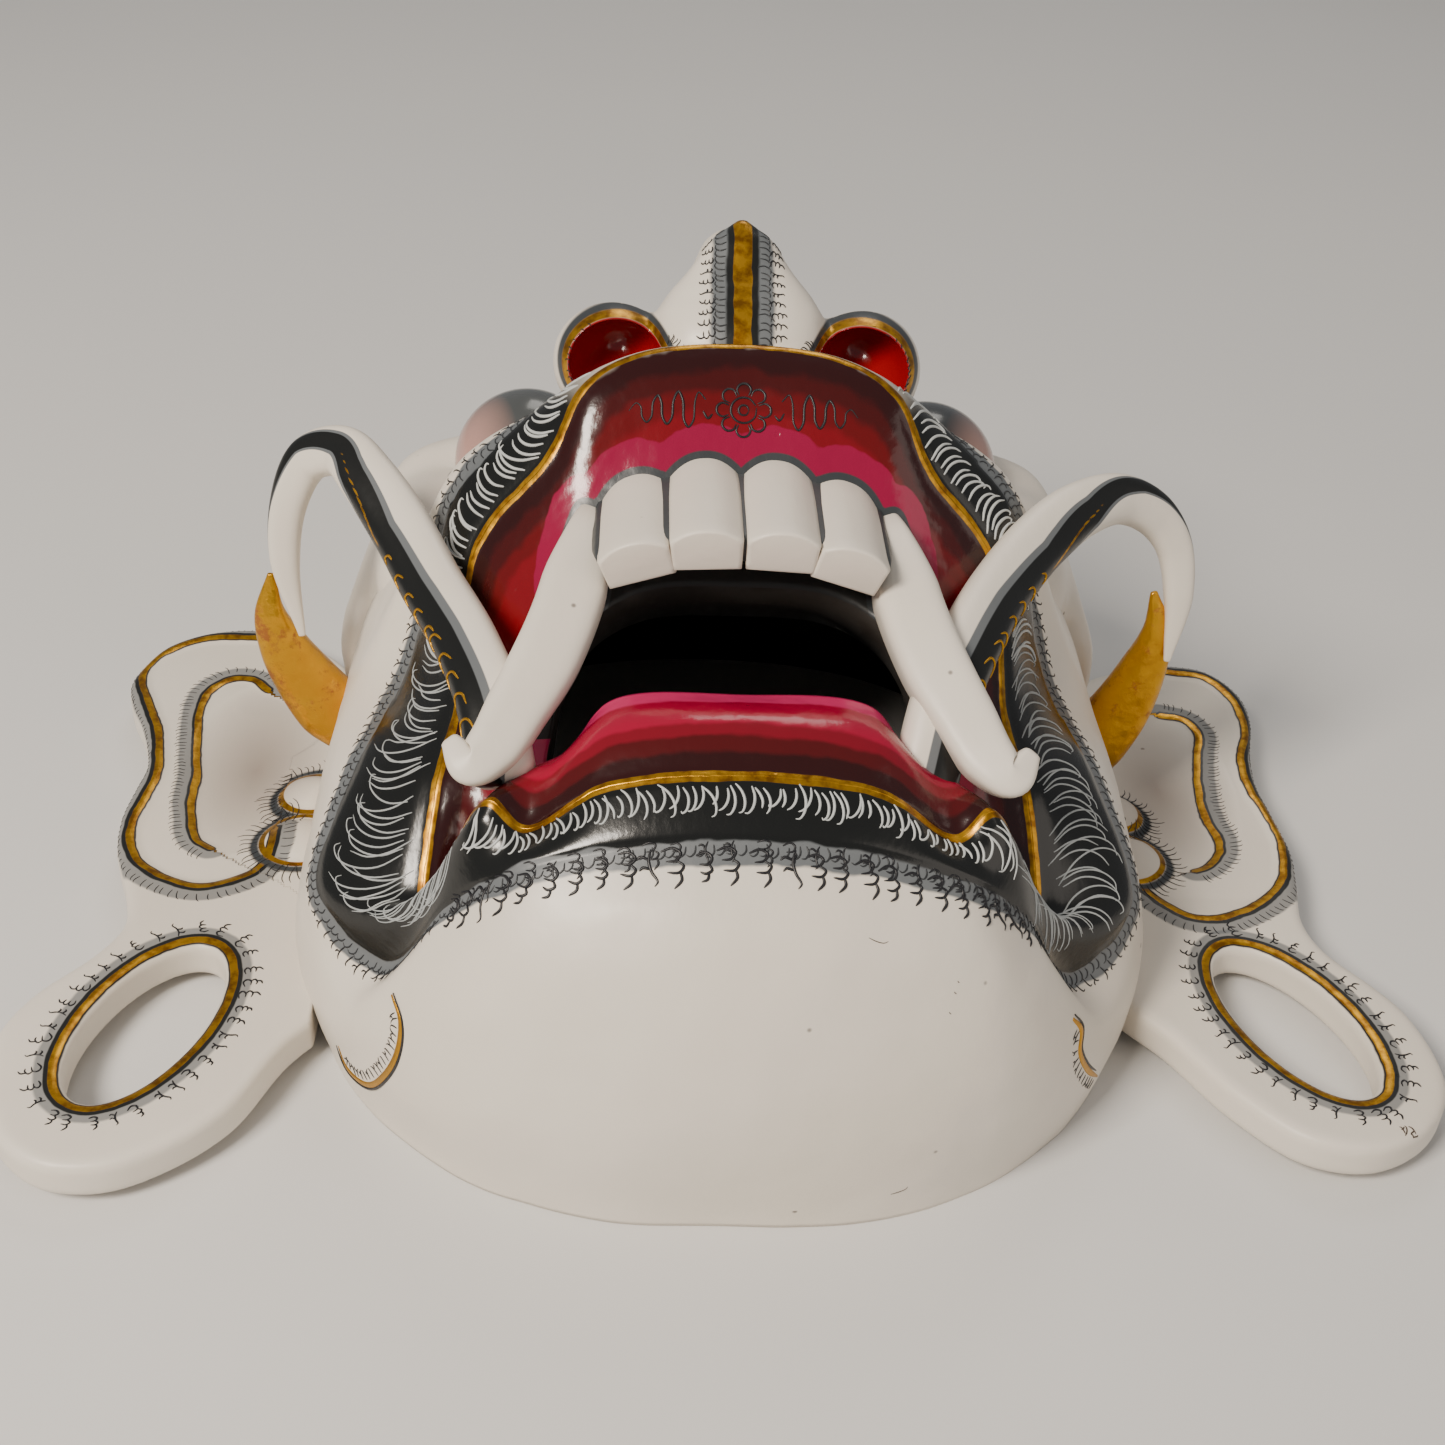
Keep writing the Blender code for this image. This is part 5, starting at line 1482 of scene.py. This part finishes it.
for side, plate, side_name in ((-1, left_ear, "left"), (1, right_ear, "right")):
    for number, (x, y, reach) in enumerate(TRAGUS_LOBES):
        turns = np.radians(np.arange(-100, 101, 8) - (-15, 20)[number])
        ways = np.stack([np.cos(turns) * side, np.sin(turns), turns * 0], axis=1)
        spots = np.array([side * x, y, 14.0]) + ways * (reach + 4.2)
        guides = (spots, ways, [FACE_FRONT] * len(turns), rng.uniform(4.5, 8.0, len(turns)))
        brushed(f"{side_name}_tragus_lashes_{number}", guides, "lashes", plate,
                0.17, black_stroke, "painted_ear", wander=14, seed=23)
    ring = lobe_ellipse(side, LOBE_RING)
    brushed(f"{side_name}_lobe_curls", line_guides(ring, 5.0, 4.6, 4.8, -side, rng, closed=True), "curls",
            plate,
            0.26, black_stroke, "painted_ear", wander=16, seed=20)
    contour_line = ear_line(EAR_CONTOURS, side)
    brushed(f"{side_name}_rim_lashes", line_guides(contour_line, 5.2, 2.0, 3.2, side, rng), "lashes", plate,
            0.16, black_stroke, "painted_ear", wander=14, seed=21)
    scroll_line = ear_line(EAR_SCROLLS, side)
    brushed(f"{side_name}_scroll_lashes", line_guides(scroll_line, 4.6, 1.7, 3.6, side, rng), "lashes",
            plate,
            0.16, black_stroke, "painted_ear", wander=12, seed=22)


# Finishes on the pieces
face_finish = face_paint()
# Thin black paint on raw wood inside, dead matt, with the tool marks showing. Its black also stands in as
# painted shade for the dark hollow seen through the mouth.
inner_paint_and_shade = plain("black_inner_paint", "#1a1714", 0.75, 30.0, 0.6, second="#2a231d")
tooth_finish = bone_paint()
ear_finish = ear_paint()
# Charcoal line paint in the joints between the teeth, a little silky
ground_finish = plain("charcoal_line_paint", "#3c4042", 0.4, 60.0, 0.2)
for piece, finishes in (
    (carved_face, (face_finish, inner_paint_and_shade)), (carved_nose, (face_finish,)),
    (front_teeth, (tooth_finish,)),
    (teeth_ground, (ground_finish,)), (left_ear, (ear_finish,)), (right_ear, (ear_finish,)),
):
    for finish in finishes:
        piece.data.materials.append(finish)
eye_finish = eye_lacquer()
tusk_finish = tusk_paint()
leaf_finish = gold_leaf()
for piece in eyes:
    piece.data.materials.append(eye_finish)
for side in (-1, 1):
    fangs[side].data.materials.append(tooth_finish)
    tusks[side].data.materials.append(tusk_finish)
    crescents[side].data.materials.append(leaf_finish)

# Riding on the frame
face_pieces = [carved_face, carved_nose, front_teeth, teeth_ground, *eyes]
face_pieces += [*fangs.values(), *tusks.values(), *crescents.values()]
for piece in face_pieces:
    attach(piece, "root")
    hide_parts("mask")
for piece, node in ((left_ear, "left_ear"), (right_ear, "right_ear")):
    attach(piece, "root")
    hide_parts(node)


# Floor, light and camera
def studio_floor():
    """A pale, matt floor far wider than the view."""
    made, tree = material("pale_studio_floor")
    where = add(tree, "ShaderNodeTexCoord", out=3)
    tone = add(tree, "ShaderNodeMix",
               sockets={0: add(tree, "ShaderNodeTexNoise", where, None, 3.0, 3.0, 0.55), 6: srgb("#d9d8d6"),
                        7: srgb("#d4d3d1")},
               data_type="RGBA", out=2)
    close(made, tree, (tone, 0.85, 0.0), add(tree, "ShaderNodeTexNoise", where, None, 200.0, 3.0, 0.55),
          0.02)
    floor = mesh_object("studio_floor", [(-6, -6, 0), (6, -6, 0), (6, 6, 0), (-6, 6, 0)], [(0, 1, 2, 3)])
    floor.data.materials.append(made)


def lamp(name, place, aim, size, watts, colour):
    """A square soft lamp that faces a point."""
    light = bpy.data.lights.new(name, "AREA")
    light.size = size
    light.energy = watts
    light.color = srgb(colour)[:3]
    holder = in_scene(name, light)
    holder.location = place
    holder.rotation_euler = (Vector(aim) - Vector(place)).to_track_quat("-Z", "Y").to_euler()


studio_floor()
lamp("window_left", (-0.75, -0.8, 1.1), (0, 0, 0.08), 0.45, 30.0, "#fff4e6")
lamp("soft_fill", (1.2, -0.8, 0.7), (0, 0, 0.08), 1.2, 5.0, "#fff3e6")
lamp("high_back", (0.2, 1.0, 1.3), (0, 0, 0.1), 0.6, 4.0, "#fffaf2")
world = bpy.data.worlds.new("studio_air")
world.use_nodes = True
world.node_tree.nodes["Background"].inputs[0].default_value = srgb("#e9eaec")
world.node_tree.nodes["Background"].inputs[1].default_value = 0.30
bpy.context.scene.world = world

CAMERA_AIM = placed([(-4.0, -60.0, 97.0)])[0]
CAMERA_DISTANCE = 0.470
CAMERA_TILT = math.radians(35.0)
CAMERA_YAW = math.radians(3.5)
CAMERA_ROLL = math.radians(3.4)
SENSOR_WIDTH = 36.0
# As fitted to the photograph, in its pixels
PHOTO_WIDTH = 1445
FOCAL_LENGTH = 1950.5
level_share = math.cos(CAMERA_TILT)
forward = Vector((
    math.sin(CAMERA_YAW) * level_share,
    math.cos(CAMERA_YAW) * level_share,
    -math.sin(CAMERA_TILT),
))
lens = bpy.data.cameras.new("camera")
lens.sensor_width = SENSOR_WIDTH
lens.lens = SENSOR_WIDTH * FOCAL_LENGTH / PHOTO_WIDTH
lens.clip_start = 0.01
camera = in_scene("camera", lens)
camera.location = Vector(CAMERA_AIM) - forward * CAMERA_DISTANCE
level = forward.to_track_quat("-Z", "Y").to_matrix().to_4x4()
camera.matrix_world = Matrix.Translation(camera.location) @ level @ Matrix.Rotation(CAMERA_ROLL, 4, "Z")
bpy.context.scene.camera = camera
